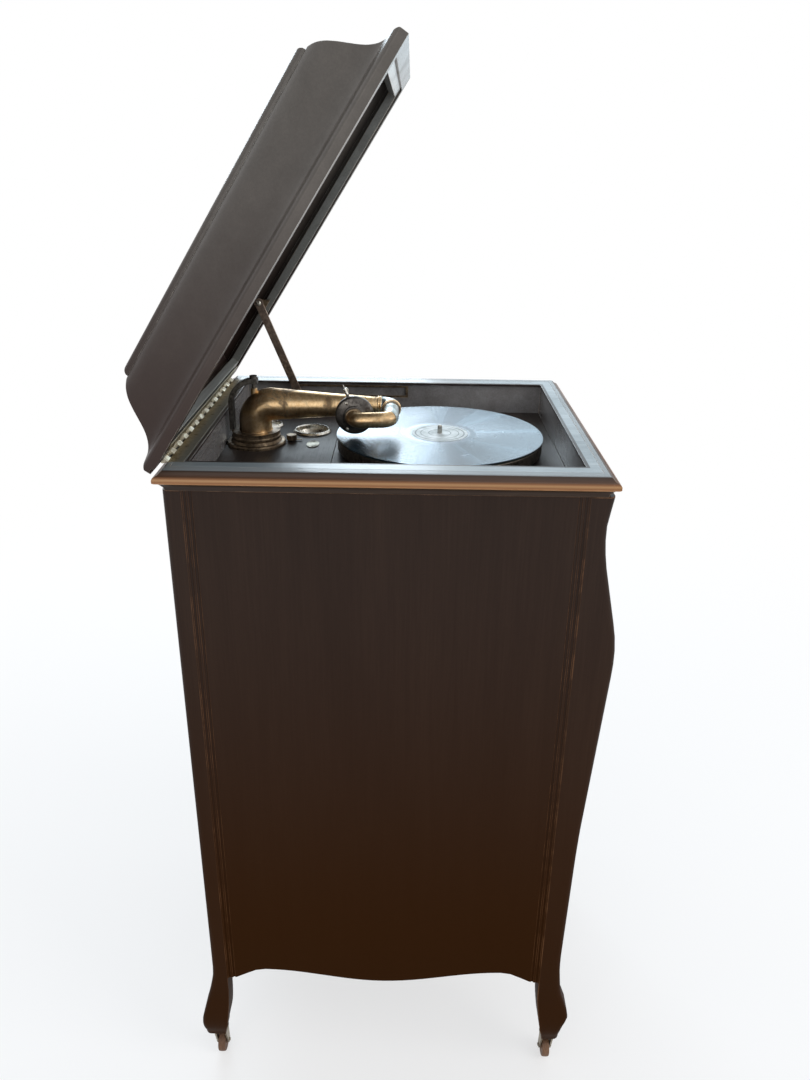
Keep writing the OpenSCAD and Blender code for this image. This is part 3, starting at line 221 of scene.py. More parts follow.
class Shader(Tree):
    """A material's tree with the calls that the finishes share."""

    def __init__(self, name: str) -> None:
        """Makes the material.

        Args:
            name: Name of the material.
        """
        self.material = bpy.data.materials.new(name)
        self.material.use_nodes = True
        super().__init__(self.material.node_tree)
        self.coords = self.add("ShaderNodeTexCoord", output="Object")

    def scaled(self, scale: Sequence[float], offset: Sequence[float] = (0, 0, 0)) -> Sock:
        """Object coordinates, moved and then scaled.

        Args:
            scale: Scale along X, Y and Z.
            offset: Point in metres that becomes the pattern's zero.

        Returns:
            The coordinates.
        """
        moved = [-s * o for s, o in zip(scale, offset)]
        return self.add("ShaderNodeMapping", {}, {0: self.coords, 1: moved, 3: list(scale)})

    def part(self, axis: Axis, vector: Sock | None = None) -> Sock:
        """One part of a vector, of the object coordinates by default."""
        return self.add("ShaderNodeSeparateXYZ", {}, {0: vector or self.coords}, output=axis.value)

    def disc(self, centre: Sequence[float]) -> tuple[Sock, Sock]:
        """Coordinates across a disc from its middle, and the distance from it."""
        flat = self.scaled((1, 1, 0), (centre[0], centre[1], 0))
        return flat, self.add("ShaderNodeVectorMath", {"operation": "LENGTH"}, {0: flat}, output=1)

    def noise(self, scale: Sequence[float], detail: float = 3.0, rough: float = 0.5,
              warp: float = 0.0) -> Sock:
        """Noise over scaled object coordinates.

        Args:
            scale: Repeats for each metre along X, Y and Z.
            detail: Octaves.
            rough: Weight of the fine octaves.
            warp: Distortion.

        Returns:
            The noise, about 0.2 to 0.8.
        """
        return self.add("ShaderNodeTexNoise", {}, {
            "Vector": self.scaled(scale), "Scale": 1.0, "Detail": detail, "Roughness": rough,
            "Distortion": warp})

    def step(self, value: Sock, low: float, high: float) -> Sock:
        """Smooth step from 0 at low to 1 at high."""
        return self.add("ShaderNodeMapRange", {"interpolation_type": "SMOOTHSTEP"},
                        {"Value": value, "From Min": low, "From Max": high})

    def mix(self, share: Sock | float, first: Sock | Colour, second: Sock | Colour) -> Sock:
        """Colour that goes from first to second."""
        return self.add("ShaderNodeMix", {"data_type": "RGBA"},
                        {0: share, 6: first, 7: second}, output=2)

    def ramp(self, value: Sock, stops: Sequence[tuple[float, Colour]]) -> Sock:
        """Colour ramp with the given stops."""
        return self.add("ShaderNodeValToRGB", {"stops": stops}, {0: value})

    def wear(self) -> Sock:
        """Mark of the rounded edges, kept on the mesh: where wear shows, and where the lid's finish
        paints an edge highlight.
        """
        return self.add("ShaderNodeAttribute", {"attribute_name": "wear"}, output="Fac")

    def bump(self, height: Sock, strength: float, distance_mm: float) -> Sock:
        """Bump from a height."""
        return self.add("ShaderNodeBump", {}, {
            "Height": height, "Strength": strength, "Distance": distance_mm * MM})

    def surface(self, sockets: dict[str, object]) -> bpy.types.Material:
        """Ends the tree in a Principled BSDF.

        Args:
            sockets: Values and links of its sockets.

        Returns:
            The material.
        """
        shader = self.add("ShaderNodeBsdfPrincipled", {}, sockets)
        self.add("ShaderNodeOutputMaterial", {}, {"Surface": shader})
        return self.material


# ---- Finishes


@dataclass(frozen=True)
class Wood:
    """Stained and polished wood."""

    name: str
    dark: Colour
    middle: Colour
    light: Colour
    # The next colour is that of the rounded edges, weighed by wear below: their wear on most woods,
    # and on the lid a painted highlight along the edges.
    worn_and_lit: Colour
    grain: Axis = Axis.Z
    gloss: float = 0.35
    rough: float = 0.38
    wear: float = 0.8
    shine: float = 0.5
    calm: float = 1.0  # the higher, the closer the tones of the grain
    low: Colour | None = None  # what its colour turns to downwards
    low_from: float = 0.25
    low_to: float = 1.08
    low_share: float = 0.9
    tone_and_light_bands: tuple[tuple[float, Colour], ...] = ()  # height from the rim's top, and colour: own tones with painted shade and highlights
    tone_and_light_share: float = 0.85
    edging: tuple[float, float, float, Colour] | None = None  # opening's half sizes, width
    edge_blur: float = 0.6

    def make(self) -> bpy.types.Material:
        """Builds the material.

        Returns:
            The material.
        """
        tree = Shader(self.name)
        broad = tree.noise(self._along(5, 1.3), 3, 0.55, 0.3)
        figure = tree.noise(self._along(42, 2.6), 5, 0.6, 0.5)
        fibre = tree.noise(self._along(420, 9), 3, 0.65)
        pore = tree.step(tree.noise(self._along(1100, 26), 2, 0.6), 0.57, 0.68)
        tone = broad * 0.55 + figure * 0.45 + (fibre - 0.5) * 0.35
        spread = 0.17 * self.calm
        colour = tree.ramp(tone, [(0.5 - spread, self.dark), (0.5, self.middle),
                                  (0.5 + spread, self.light)])
        colour = tree.mix(pore * (0.45 / self.calm), colour, self.dark)
        gloss: Sock | float = self.gloss
        above = tree.part(Axis.Z)
        if self.low:
            lower = 1.0 - tree.step(above, self.low_from, self.low_to)
            colour = tree.mix(lower * self.low_share, colour, self.low)
            gloss = (1.0 - lower) * self.gloss
        # Colour bands by height: the wood's tones with painted shade and highlights along a
        # moulding's profile.
        if self.tone_and_light_bands:
            first, last = self.tone_and_light_bands[0][0], self.tone_and_light_bands[-1][0]
            at = tree.add("ShaderNodeMapRange", {}, {
                "Value": above, "From Min": RIM_Z + first * MM, "From Max": RIM_Z + last * MM})
            stops = [((z - first) / (last - first), tint) for z, tint in self.tone_and_light_bands]
            colour = tree.mix(self.tone_and_light_share, colour, tree.ramp(at, stops))
            gloss = tree.step(above, *(RIM_Z + z * MM for z, _ in self.tone_and_light_bands[-3:-1])) * self.gloss
        if self.edging:
            border = self._edge(tree)
            colour = tree.mix(border, colour, self.edging[3])
            gloss = (1.0 - border) * self.gloss
        # Rounded edges take the edge colour: their wear, and on the lid a painted highlight.
        rub = tree.step(tree.noise((28, 28, 28), 4, 0.65), 0.42, 0.62)
        worn_and_lit = tree.wear() * (rub * 0.75 + 0.25) * self.wear
        colour = tree.mix(worn_and_lit, colour, self.worn_and_lit)
        haze = tree.step(tree.noise((7, 7, 7), 4, 0.6), 0.4, 0.7)
        height = fibre * 0.5 - pore * 0.6 + figure * 0.4
        return tree.surface({
            "Base Color": colour, "Roughness": haze * 0.14 + worn_and_lit * 0.2 + pore * 0.1 + self.rough,
            "Coat Weight": gloss, "Coat Roughness": 0.16, "Specular IOR Level": self.shine,
            "Normal": tree.bump(height, 0.25, 0.12)})

    def _along(self, across: float, length: float) -> list[float]:
        """Scale of a pattern that runs with the grain.

        Args:
            across: Repeats for each metre across the grain.
            length: Repeats for each metre along it.

        Returns:
            The scale along X, Y and Z.
        """
        scale = [across] * 3
        scale[self.grain.value] = length
        return scale

    def _edge(self, tree: Shader) -> Sock:
        """Share of the dark edging that runs round an opening.

        Args:
            tree: Tree that the nodes go in.

        Returns:
            1 on the edging, 0 outside it.
        """
        half_x, half_y, width, _ = self.edging
        centre = PLACE.translation
        outside = 0.0
        for axis, middle, half in ((Axis.X, centre.x, half_x), (Axis.Y, centre.y, half_y)):
            away = (tree.part(axis) - middle).size()
            outside = (away - half * MM).highest(outside)
        return 1.0 - tree.step(outside, (width - self.edge_blur) * MM, width * MM)


@dataclass(frozen=True)
class Metal:
    """Plated, cast or patinated metal."""

    name: str
    bright: Colour
    base: Colour
    patina: Colour
    share: float = 0.5  # how much of it has aged
    rough: float = 0.28
    grime: float = 0.5  # how much patina the aged part has
    turned: Axis | None = None
    dull: float = 0.85  # how metallic the patina is
    y_fade: tuple[float, float] | None = None  # from where to where along Y it darkens to the patina colour
    y_fade_share: float = 0.8
    line: float = 900.0  # repeats of the brushing for each metre

    def make(self) -> bpy.types.Material:
        """Builds the material.

        Returns:
            The material.
        """
        tree = Shader(self.name)
        blot = tree.noise((34, 34, 34), 5, 0.62, 0.8)
        fleck = tree.noise((210, 210, 210), 4, 0.6)
        aged = tree.step(blot * 0.7 + fleck * 0.3, 0.62 - 0.3 * self.share, 0.72 - 0.2 * self.share)
        tone = tree.mix(tree.step(fleck, 0.3, 0.7), self.base, self.bright)
        share = aged * self.grime
        if self.y_fade:
            fade_span = (PLACE.translation.y + y * MM for y in self.y_fade)
            share = (tree.step(tree.part(Axis.Y), *fade_span) * self.y_fade_share).highest(share)
        colour = tree.mix(share, tone, self.patina)
        edge = tree.wear() * (1.0 - aged * 0.5)
        colour = tree.mix(edge * 0.6, colour, self.bright)
        scale = [self.line] * 3
        if self.turned is not None:
            scale[self.turned.value] = self.line / 10
        line = tree.noise(scale, 2, 0.5)
        return tree.surface({
            "Base Color": colour, "Metallic": 1.0 - share * (1.0 - self.dull),
            "Roughness": aged * 0.22 + line * 0.08 + self.rough - edge * 0.08,
            "Normal": tree.bump(fleck * 0.6 + line * 0.4, 0.12, 0.1)})


@dataclass(frozen=True)
class Shellac:
    """Pressed record: fine grooves round its middle."""

    name: str
    centre: tuple[float, float]
    # These colours are tinted blue to paint a bluish window's reflection; sheen paints bright radial
    # streaks of that reflection.
    black: Colour = field(default_factory=lambda: srgb(20, 33, 42))
    worn_and_lit: Colour = field(default_factory=lambda: srgb(50, 68, 78))
    sheen: Colour = field(default_factory=lambda: srgb(118, 142, 154))
    pitch_mm: float = 1.1
    inner_mm: float = 52.0
    outer_mm: float = 148.0
    steepness: float = 0.16
    tracks: float = 260.0

    def make(self) -> bpy.types.Material:
        """Builds the material.

        Returns:
            The material.
        """
        tree = Shader(self.name)
        flat, radius = tree.disc(self.centre)
        ray = tree.add("ShaderNodeVectorMath", {"operation": "NORMALIZE"}, {0: flat})
        grooved = tree.step(radius, self.inner_mm * MM, (self.inner_mm + 1) * MM) * (
            1.0 - tree.step(radius, (self.outer_mm - 1) * MM, self.outer_mm * MM))
        wave = (radius * (2 * math.pi / (self.pitch_mm * MM))).sine() * grooved
        tilt = tree.add("ShaderNodeVectorMath", {"operation": "SCALE"},
                        {0: ray, 3: wave * self.steepness})
        up = tree.add("ShaderNodeVectorMath", {"operation": "ADD"}, {0: tilt, 1: (0, 0, 1)})
        normal = tree.add("ShaderNodeVectorTransform", {
            "vector_type": "NORMAL", "convert_from": "OBJECT", "convert_to": "WORLD"}, {0: up})
        geometry = tree.add("ShaderNodeNewGeometry", output="Normal")
        level = tree.step(tree.part(Axis.Z, geometry), 0.97, 0.99)
        normal = tree.add("ShaderNodeMix", {"data_type": "VECTOR"},
                          {0: level, 4: geometry, 5: normal}, output=1)
        track = tree.add("ShaderNodeTexNoise", {"noise_dimensions": "1D"}, {
            "W": radius * self.tracks, "Scale": 1.0, "Detail": 3.0})
        dust = tree.step(tree.noise((60, 60, 60), 3, 0.6), 0.45, 0.8)
        colour = tree.mix(dust * 0.25 + tree.step(track, 0.4, 0.65) * 0.4, self.black, self.worn_and_lit)
        # Painted reflection: bright radial sectors in the grooved band.
        sheen_sector = tree.add("ShaderNodeTexNoise", {}, {"Vector": ray, "Scale": 1.9, "Detail": 4.0,
                                                     "Roughness": 0.5})
        colour = tree.mix(tree.step(sheen_sector, 0.42, 0.66) * grooved * 0.75, colour, self.sheen)
        # The blue specular and coat tints paint the window's blue reflection.
        return tree.surface({
            "Base Color": colour, "Roughness": track * 0.16 + dust * 0.1 + 0.12,
            "Normal": normal, "IOR": 1.75, "Coat Weight": 0.35, "Coat Roughness": 0.2,
            "Specular Tint": srgb(214, 238, 255), "Coat Tint": srgb(226, 242, 255)})


@dataclass(frozen=True)
class Soft:
    """Matt surface: paper, felt, mica or rubber."""

    name: str
    first: Colour
    second: Colour
    scale: float = 900.0
    rough: float = 0.85
    height_mm: float = 0.2
    sheen: float = 0.0

    def make(self) -> bpy.types.Material:
        """Builds the material.

        Returns:
            The material.
        """
        tree = Shader(self.name)
        fine = tree.noise([self.scale] * 3, 4, 0.7)
        broad = tree.noise((24, 24, 24), 4, 0.6)
        colour = tree.mix(tree.step(fine * 0.5 + broad * 0.5, 0.36, 0.64), self.first, self.second)
        return tree.surface({
            "Base Color": colour, "Roughness": broad * 0.12 + (self.rough - 0.06),
            "Sheen Weight": self.sheen, "Normal": tree.bump(fine, 0.4, self.height_mm)})


@dataclass(frozen=True)
class Label:
    """Paper label with printed rings round the spindle's hole, and no words."""

    name: str
    centre: tuple[float, float]
    paper: Colour = field(default_factory=lambda: srgb(226, 234, 236))
    aged: Colour = field(default_factory=lambda: srgb(196, 206, 207))
    ring: Colour = field(default_factory=lambda: srgb(108, 122, 126))
    rings: tuple[tuple[float, float], ...] = ((15.6, 16.6), (27.5, 28.3), (34.8, 36.6))
    blur: float = 0.4

    def make(self) -> bpy.types.Material:
        """Builds the material.

        Returns:
            The material.
        """
        tree = Shader(self.name)
        _, radius = tree.disc(self.centre)
        lines = None
        for low, high in self.rings:
            near = tree.step(radius, (low - self.blur) * MM, low * MM) * (
                1.0 - tree.step(radius, high * MM, (high + self.blur) * MM))
            lines = near if lines is None else lines + near
        stain = tree.step(tree.noise((46, 46, 46), 5, 0.65), 0.36, 0.66)
        colour = tree.mix(stain, self.paper, self.aged)
        colour = tree.mix(lines * 0.7, colour, self.ring)
        return tree.surface({
            "Base Color": colour, "Roughness": stain * 0.2 + 0.45,
            "Normal": tree.bump(tree.noise((700, 700, 700), 3, 0.6), 0.2, 0.08)})


Finish = Wood | Metal | Soft | Shellac | Label

# ---- Meshes


@dataclass
class Shape:
    """Points in millimetres, faces and the wear of each point."""

    points: list[Vector] = field(default_factory=list)
    faces: list[tuple[int, ...]] = field(default_factory=list)
    wear: list[float] = field(default_factory=list)

    def join(self, other: "Shape") -> "Shape":
        """Adds another shape's faces.

        Args:
            other: The shape that joins.

        Returns:
            This shape.
        """
        first = len(self.points)
        self.points += other.points
        self.wear += other.wear
        self.faces += [tuple(first + i for i in f) for f in other.faces]
        return self

    def put(self, matrix: Matrix) -> "Shape":
        """Moves the shape.

        Args:
            matrix: How it moves.

        Returns:
            This shape.
        """
        self.points = [matrix @ p for p in self.points]
        return self


def loft(rings: Sequence[Sequence[Vector]], wear: Sequence[float] | None = None,
         around: bool = False) -> Shape:
    """Skins rings of equal length.

    Args:
        rings: The rings, in order.
        wear: Wear of each ring.
        around: Whether the last ring joins the first, in place of two caps.

    Returns:
        The shape.
    """
    count, size = len(rings), len(rings[0])
    shape = Shape([Vector(p) for ring in rings for p in ring], [],
                  [w for w in (wear or [0.0] * count) for _ in range(size)])
    for k in range(count if around else count - 1):
        for i in range(size):
            a, b = k * size, (k + 1) % count * size
            shape.faces.append((a + i, a + (i + 1) % size, b + (i + 1) % size, b + i))
    if not around:
        shape.faces.append(tuple(reversed(range(size))))
        shape.faces.append(tuple((count - 1) * size + i for i in range(size)))
    return shape


def lathe(profile: Sequence[Sequence[float]], segments: int = 48,
          wear: Sequence[float] | None = None, around: bool = False) -> Shape:
    """Turns a profile about Z.

    Args:
        profile: Radius and height of each step.
        segments: Steps round the axis.
        wear: Wear of each step.
        around: Whether the profile is closed, as for a ring.

    Returns:
        The shape.
    """
    rings = [[Vector((max(r, THIN) * math.cos(a), max(r, THIN) * math.sin(a), z))
              for a in spread(segments)] for r, z in profile]
    return loft(rings, wear, around)


def rounded(profile: Sequence[Sequence[float]], steps: int = 4) -> list[tuple[float, float]]:
    """A smooth line through the points of a profile.

    Args:
        profile: The points.
        steps: Parts between two points.

    Returns:
        The finer profile.
    """
    pts = [Vector(p) for p in profile]
    line: list[tuple[float, float]] = []
    for k in range(len(pts) - 1):
        a, b, c, d = pts[max(0, k - 1)], pts[k], pts[k + 1], pts[min(len(pts) - 1, k + 2)]
        for s in range(steps):
            t = s / steps
            p = 0.5 * (2 * b + (c - a) * t + (2 * a - 5 * b + 4 * c - d) * t * t
                       + (3 * b - a - 3 * c + d) * t ** 3)
            line.append((p.x, p.y))
    return line + [tuple(pts[-1])]


def prism(outline: Sequence[Sequence[float]], low: float, high: float) -> Shape:
    """An outline in X and Y, raised from low to high along Z."""
    return loft([[Vector((x, y, z)) for x, y in outline] for z in (low, high)])


def box_shape(low: Sequence[float], high: Sequence[float]) -> Shape:
    """A block between two corners."""
    corners = [(low[0], low[1]), (high[0], low[1]), (high[0], high[1]), (low[0], high[1])]
    return prism(corners, low[2], high[2])


def turn(axis: Axis, degrees: float) -> Matrix:
    """Rotation about an axis."""
    return Matrix.Rotation(math.radians(degrees), 4, axis.name)


def shift(x: float, y: float, z: float) -> Matrix:
    """Translation."""
    return Matrix.Translation((x, y, z))


def spread(count: int, first: float = 0.0) -> list[float]:
    """Angles of points spread evenly round a circle.

    Args:
        count: Number of points.
        first: Angle of the first, in degrees.

    Returns:
        The angles in radians.
    """
    return [2 * math.pi * k / count + math.radians(first) for k in range(count)]


def turned(profile: Sequence[Sequence[float]], place: Matrix, segments: int = 48, parts: int = 1,
           wear: float = 0.0, around: bool = False) -> Shape:
    """A shape turned about an axis, at its place.

    Args:
        profile: Radius and height of each step.
        place: Where its axis goes.
        segments: Steps round the axis.
        parts: Parts of the smooth line between two points, 1 for a straight one.
        wear: Wear of the whole shape.
        around: Whether the profile is closed, as for a ring.

    Returns:
        The shape.
    """
    line = rounded(profile, parts) if parts > 1 else profile
    return lathe(line, segments, [wear] * len(line), around).put(place)


TO_X = turn(Axis.Y, 90)
TO_Y = turn(Axis.X, -90)


def cleaned(mesh: bpy.types.Mesh, gap: float) -> None:
    """Merges the doubles of a mesh and turns its faces outwards.

    Args:
        mesh: The mesh.
        gap: Points closer than this become one, in metres.
    """
    edit = bmesh.new()
    edit.from_mesh(mesh)
    bmesh.ops.remove_doubles(edit, verts=edit.verts, dist=gap)
    bmesh.ops.recalc_face_normals(edit, faces=edit.faces)
    edit.to_mesh(mesh)
    edit.free()


def smoothed(mesh: bpy.types.Mesh, sharp: float) -> None:
    """Smooths a mesh but for the edges above an angle in degrees."""
    mesh.shade_smooth()
    mesh.set_sharp_from_angle(angle=math.radians(sharp))


def finished(holder: bpy.types.Object) -> bpy.types.Mesh:
    """Plain mesh that an object's modifiers make, without the object.

    Args:
        holder: The object, which is removed.

    Returns:
        The mesh.
    """
    done = bpy.data.meshes.new_from_object(
        holder.evaluated_get(bpy.context.evaluated_depsgraph_get()))
    bpy.data.objects.remove(holder)
    return done


class Workshop:
    """Makes objects of the meshes, and keeps the materials that the finishes made."""

    def __init__(self) -> None:
        """Starts with no material."""
        self.materials: dict[str, bpy.types.Material] = {}
        self.count = 0

    def material(self, finish: Finish) -> bpy.types.Material:
        """Material of a finish, made once.

        Args:
            finish: The finish.

        Returns:
            Its material.
        """
        if finish.name not in self.materials:
            self.materials[finish.name] = finish.make()
        return self.materials[finish.name]

    def settle(self, name: str, mesh: bpy.types.Mesh, node: str, finish: Finish,
               replace: bool) -> bpy.types.Object:
        """Gives a finished mesh its material and body.

        Args:
            name: Name of the piece.
            mesh: Its mesh, in metres.
            node: CAD node whose body it takes.
            finish: Its finish.
            replace: Whether it stands for that node.

        Returns:
            The object.
        """
        mesh.materials.clear()
        mesh.materials.append(self.material(finish))
        mesh.polygons.foreach_set("material_index", [0] * len(mesh.polygons))
        piece = bpy.data.objects.new(name, mesh)
        bpy.context.scene.collection.objects.link(piece)
        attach(piece, frame["nodes"][node]["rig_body"])
        if replace:
            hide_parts(node)
        self.count += 1
        LOG.info("%s: %d faces", name, len(mesh.polygons))
        return piece

    def build(self, name: str, shape: Shape, node: str, finish: Finish,
              replace: bool = True, bevel: float = 0.0, sharp: float = SHARP) -> bpy.types.Object:
        """Makes a piece of a shape in the cabinet's millimetres.

        Args:
            name: Name of the piece.
            shape: The shape.
            node: CAD node whose body it takes.
            finish: Its finish.
            replace: Whether it stands for that node.
            bevel: Width of the rounded edges.
            sharp: Angle above which an edge is sharp, in degrees.

        Returns:
            The object.
        """
        mesh = bpy.data.meshes.new(name)
        mesh.from_pydata([PLACE @ p for p in shape.points], [], shape.faces)
        cleaned(mesh, MERGE)
        if any(shape.wear) and not bevel:
            lookup = {tuple(round(c, 6) for c in PLACE @ p): w
                      for p, w in zip(shape.points, shape.wear)}
            marks = [lookup.get(tuple(round(c, 6) for c in v.co), 0.0) for v in mesh.vertices]
            mesh.attributes.new("wear", "FLOAT", "POINT").data.foreach_set("value", marks)
        if bevel:
            mesh = self._bevelled(mesh, bevel, sharp)
        else:
            smoothed(mesh, sharp)
        return self.settle(name, mesh, node, finish, replace)

    def _bevelled(self, mesh: bpy.types.Mesh, bevel: float, sharp: float) -> bpy.types.Mesh:
        """Rounds the sharp edges and marks them for wear and painted edge highlights.

        Args:
            mesh: The mesh.
            bevel: Width of the rounding, in millimetres.
            sharp: Angle above which an edge is rounded, in degrees.

        Returns:
            A new mesh.
        """
        mesh.materials.clear()
        for _ in range(2):
            mesh.materials.append(None)
        mesh.shade_smooth()
        holder = bpy.data.objects.new("holder", mesh)
        bpy.context.scene.collection.objects.link(holder)
        edge = holder.modifiers.new("edge", "BEVEL")
        edge.width, edge.segments = bevel * MM, 2
        edge.limit_method, edge.angle_limit = "ANGLE", math.radians(sharp)
        edge.material = 1
        weigh = holder.modifiers.new("weigh", "WEIGHTED_NORMAL")
        weigh.mode, weigh.weight, weigh.keep_sharp = "FACE_AREA", 60, True
        done = finished(holder)
        marks = [0.0] * len(done.loops)
        for face in done.polygons:
            if face.material_index == 1:
                for loop in face.loop_indices:
                    marks[loop] = 1.0
        done.attributes.new("wear", "FLOAT", "CORNER").data.foreach_set("value", marks)
        return done

    def refine(self, node: str, finish: Finish, bevel: float = 0.6,
               sharp: float = 38.0, name: str = "", keep: Callable[[Vector, Vector], bool]
               | None = None, replace: bool = True) -> bpy.types.Object:
        """Makes a finer copy of a CAD node: merged, with rounded edges marked for wear and painted
        edge highlights.

        Args:
            node: The CAD node.
            finish: The finish.
            bevel: Width of the rounded edges, in millimetres.
            sharp: Angle above which an edge is rounded, in degrees.
            name: Name of the piece, the node's own by default.
            keep: Test on the box of each separate solid, in the cabinet's millimetres.
            replace: Whether it stands for the node.

        Returns:
            The object.
        """
        edit = bmesh.new()
        edit.from_mesh(frame["nodes"][node].data)
        bmesh.ops.remove_doubles(edit, verts=edit.verts, dist=MERGE)
        if keep is not None:
            self._keep(edit, keep)
        bmesh.ops.dissolve_degenerate(edit, edges=edit.edges, dist=MERGE_FINE)
        bmesh.ops.dissolve_limit(edit, angle_limit=FLAT, verts=edit.verts, edges=edit.edges)
        mesh = bpy.data.meshes.new(name or node)
        edit.verts.index_update()
        mesh.from_pydata([v.co.copy() for v in edit.verts], [],
                         [[v.index for v in f.verts] for f in edit.faces])
        edit.free()
        return self.settle(name or node + "_made", self._bevelled(mesh, bevel, sharp), node,
                           finish, replace)

    @staticmethod
    def _keep(edit: bmesh.types.BMesh, keep: Callable[[Vector, Vector], bool]) -> None:
        """Deletes the separate solids that fail a test on their box.

        Args:
            edit: The mesh.
            keep: The test on the lowest and the highest corner.
        """
        left, drop = set(edit.verts), []
        while left:
            start = left.pop()
            island, queue = [start], [start]
            while queue:
                for e in queue.pop().link_edges:
                    for v in e.verts:
                        if v in left:
                            left.discard(v)
                            island.append(v)
                            queue.append(v)
            local = [LOCAL @ v.co for v in island]
            low = Vector([min(p[i] for p in local) for i in range(3)])
            high = Vector([max(p[i] for p in local) for i in range(3)])
            if not keep(low, high):
                drop += island
        bmesh.ops.delete(edit, geom=drop, context="VERTS")


# ---- Geometry Nodes


class GeometryTree(Tree):
    """A Geometry Nodes group with named inputs."""

    def __init__(self, name: str, inputs: dict[str, tuple[str, object]]) -> None:
        """Makes the group and its inputs.

        Args:
            name: Name of the group.
            inputs: Socket type and default value of each named input.
        """
        super().__init__(bpy.data.node_groups.new(name, "GeometryNodeTree"))
        face = self.tree.interface
        face.new_socket("Geometry", in_out="INPUT", socket_type="NodeSocketGeometry")
        self.ids: dict[str, str] = {}
        for label, (kind, value) in inputs.items():
            socket = face.new_socket(label, in_out="INPUT", socket_type=kind)
            if value is not None:
                socket.default_value = value
            self.ids[label] = socket.identifier
        face.new_socket("Geometry", in_out="OUTPUT", socket_type="NodeSocketGeometry")
        self.group = self.tree.nodes.new("NodeGroupInput")

    def given(self, label: str) -> Sock:
        """A named input of the group."""
        return Sock(self, self.group.outputs[label])

    def marked(self, name: str, kind: str = "FLOAT") -> Sock:
        """A value that is kept on the points."""
        return self.add("GeometryNodeInputNamedAttribute", {"data_type": kind}, {0: name})

    def end(self, geometry: Sock) -> None:
        """Realizes instances, sets the material and ends the group.

        Args:
            geometry: What the group makes.
        """
        real = self.add("GeometryNodeRealizeInstances", {}, {0: geometry})
        done = self.add("GeometryNodeSetMaterial", {}, {0: real, 2: self.given("Material")})
        self.add("NodeGroupOutput", {}, {0: done})

    def run(self, mesh: bpy.types.Mesh, values: dict[str, object]) -> bpy.types.Mesh:
        """Runs the group on a mesh.

        Args:
            mesh: Mesh that it starts from, in metres.
            values: Values of the named inputs.

        Returns:
            The plain mesh that comes out.
        """
        holder = bpy.data.objects.new("holder", mesh)
        modifier = holder.modifiers.new("made", "NODES")
        modifier.node_group = self.tree
        for label, value in values.items():
            modifier[self.ids[label]] = value
        bpy.context.scene.collection.objects.link(holder)
        done = finished(holder)
        cleaned(done, MERGE_FINE)
        smoothed(done, SHARP)
        return done


class TubeTree(GeometryTree):
    """A round tube along a path, with its own radius at each point."""

    def __init__(self) -> None:
        """Builds the group."""
        super().__init__("tube_on_path", {
            "Segments": ("NodeSocketInt", 48), "Material": ("NodeSocketMaterial", None)})
        curve = self.add("GeometryNodeMeshToCurve", {}, {0: self.given("Geometry")})
        size = self.marked("girth")
        circle = self.add("GeometryNodeCurvePrimitiveCircle", {"mode": "RADIUS"},
                          {"Resolution": self.given("Segments"), "Radius": 1.0})
        tube = self.add("GeometryNodeCurveToMesh", {}, {
            0: curve, 1: circle, "Scale": size, "Fill Caps": True})
        self.end(tube)

    def make(self, path: Sequence[Step], segments: int,
             material: bpy.types.Material) -> bpy.types.Mesh:
        """Makes one tube.

        Args:
            path: Point and radius of each step, in the cabinet's millimetres.
            segments: Steps round the tube.
            material: Its material.

        Returns:
            The mesh, in metres.
        """
        mesh = bpy.data.meshes.new("path")
        mesh.from_pydata([PLACE @ p for p, _ in path],
                         [(i, i + 1) for i in range(len(path) - 1)], [])
        mesh.attributes.new("girth", "FLOAT", "POINT").data.foreach_set(
            "value", [r * MM for _, r in path])
        return self.run(mesh, {"Segments": segments, "Material": material})


class StudTree(GeometryTree):
    """Copies of a small template on points, turned to each point's own direction."""

    def __init__(self) -> None:
        """Builds the group."""
        super().__init__("studs_on_points", {
            "Template": ("NodeSocketObject", None), "Material": ("NodeSocketMaterial", None)})
        head = self.add("GeometryNodeObjectInfo", {"transform_space": "ORIGINAL"},
                        {0: self.given("Template")}, output="Geometry")
        aim = self.add("FunctionNodeAlignRotationToVector", {"axis": "Z"},
                       {"Vector": self.marked("way", "FLOAT_VECTOR")})
        own = self.add("FunctionNodeAxisAngleToRotation", {},
                       {"Axis": (0, 0, 1), "Angle": self.marked("spin")})
        both = self.add("FunctionNodeRotateRotation", {"rotation_space": "LOCAL"},
                        {0: aim, 1: own})
        copies = self.add("GeometryNodeInstanceOnPoints", {}, {
            "Points": self.given("Geometry"), "Instance": head, "Rotation": both,
            "Scale": self.marked("size")})
        self.end(copies)

    def make(self, template: Shape, points: Sequence[Spot],
             material: bpy.types.Material) -> bpy.types.Mesh:
        """Puts the template on points.

        Args:
            template: The template, in millimetres, along +Z from zero.
            points: Place, direction, size and turn of each copy.
            material: Its material.

        Returns:
            The mesh, in metres.
        """
        part = bpy.data.meshes.new("template")
        part.from_pydata([p * MM for p in template.points], [], template.faces)
        holder = bpy.data.objects.new("template", part)
        mesh = bpy.data.meshes.new("points")
        mesh.from_pydata([PLACE @ p for p, _, _, _ in points], [], [])
        mesh.attributes.new("way", "FLOAT_VECTOR", "POINT").data.foreach_set(
            "vector", [c for _, w, _, _ in points for c in w])
        for index, label in ((2, "size"), (3, "spin")):
            mesh.attributes.new(label, "FLOAT", "POINT").data.foreach_set(
                "value", [p[index] for p in points])
        done = self.run(mesh, {"Template": holder, "Material": material})
        bpy.data.objects.remove(holder)
        return done


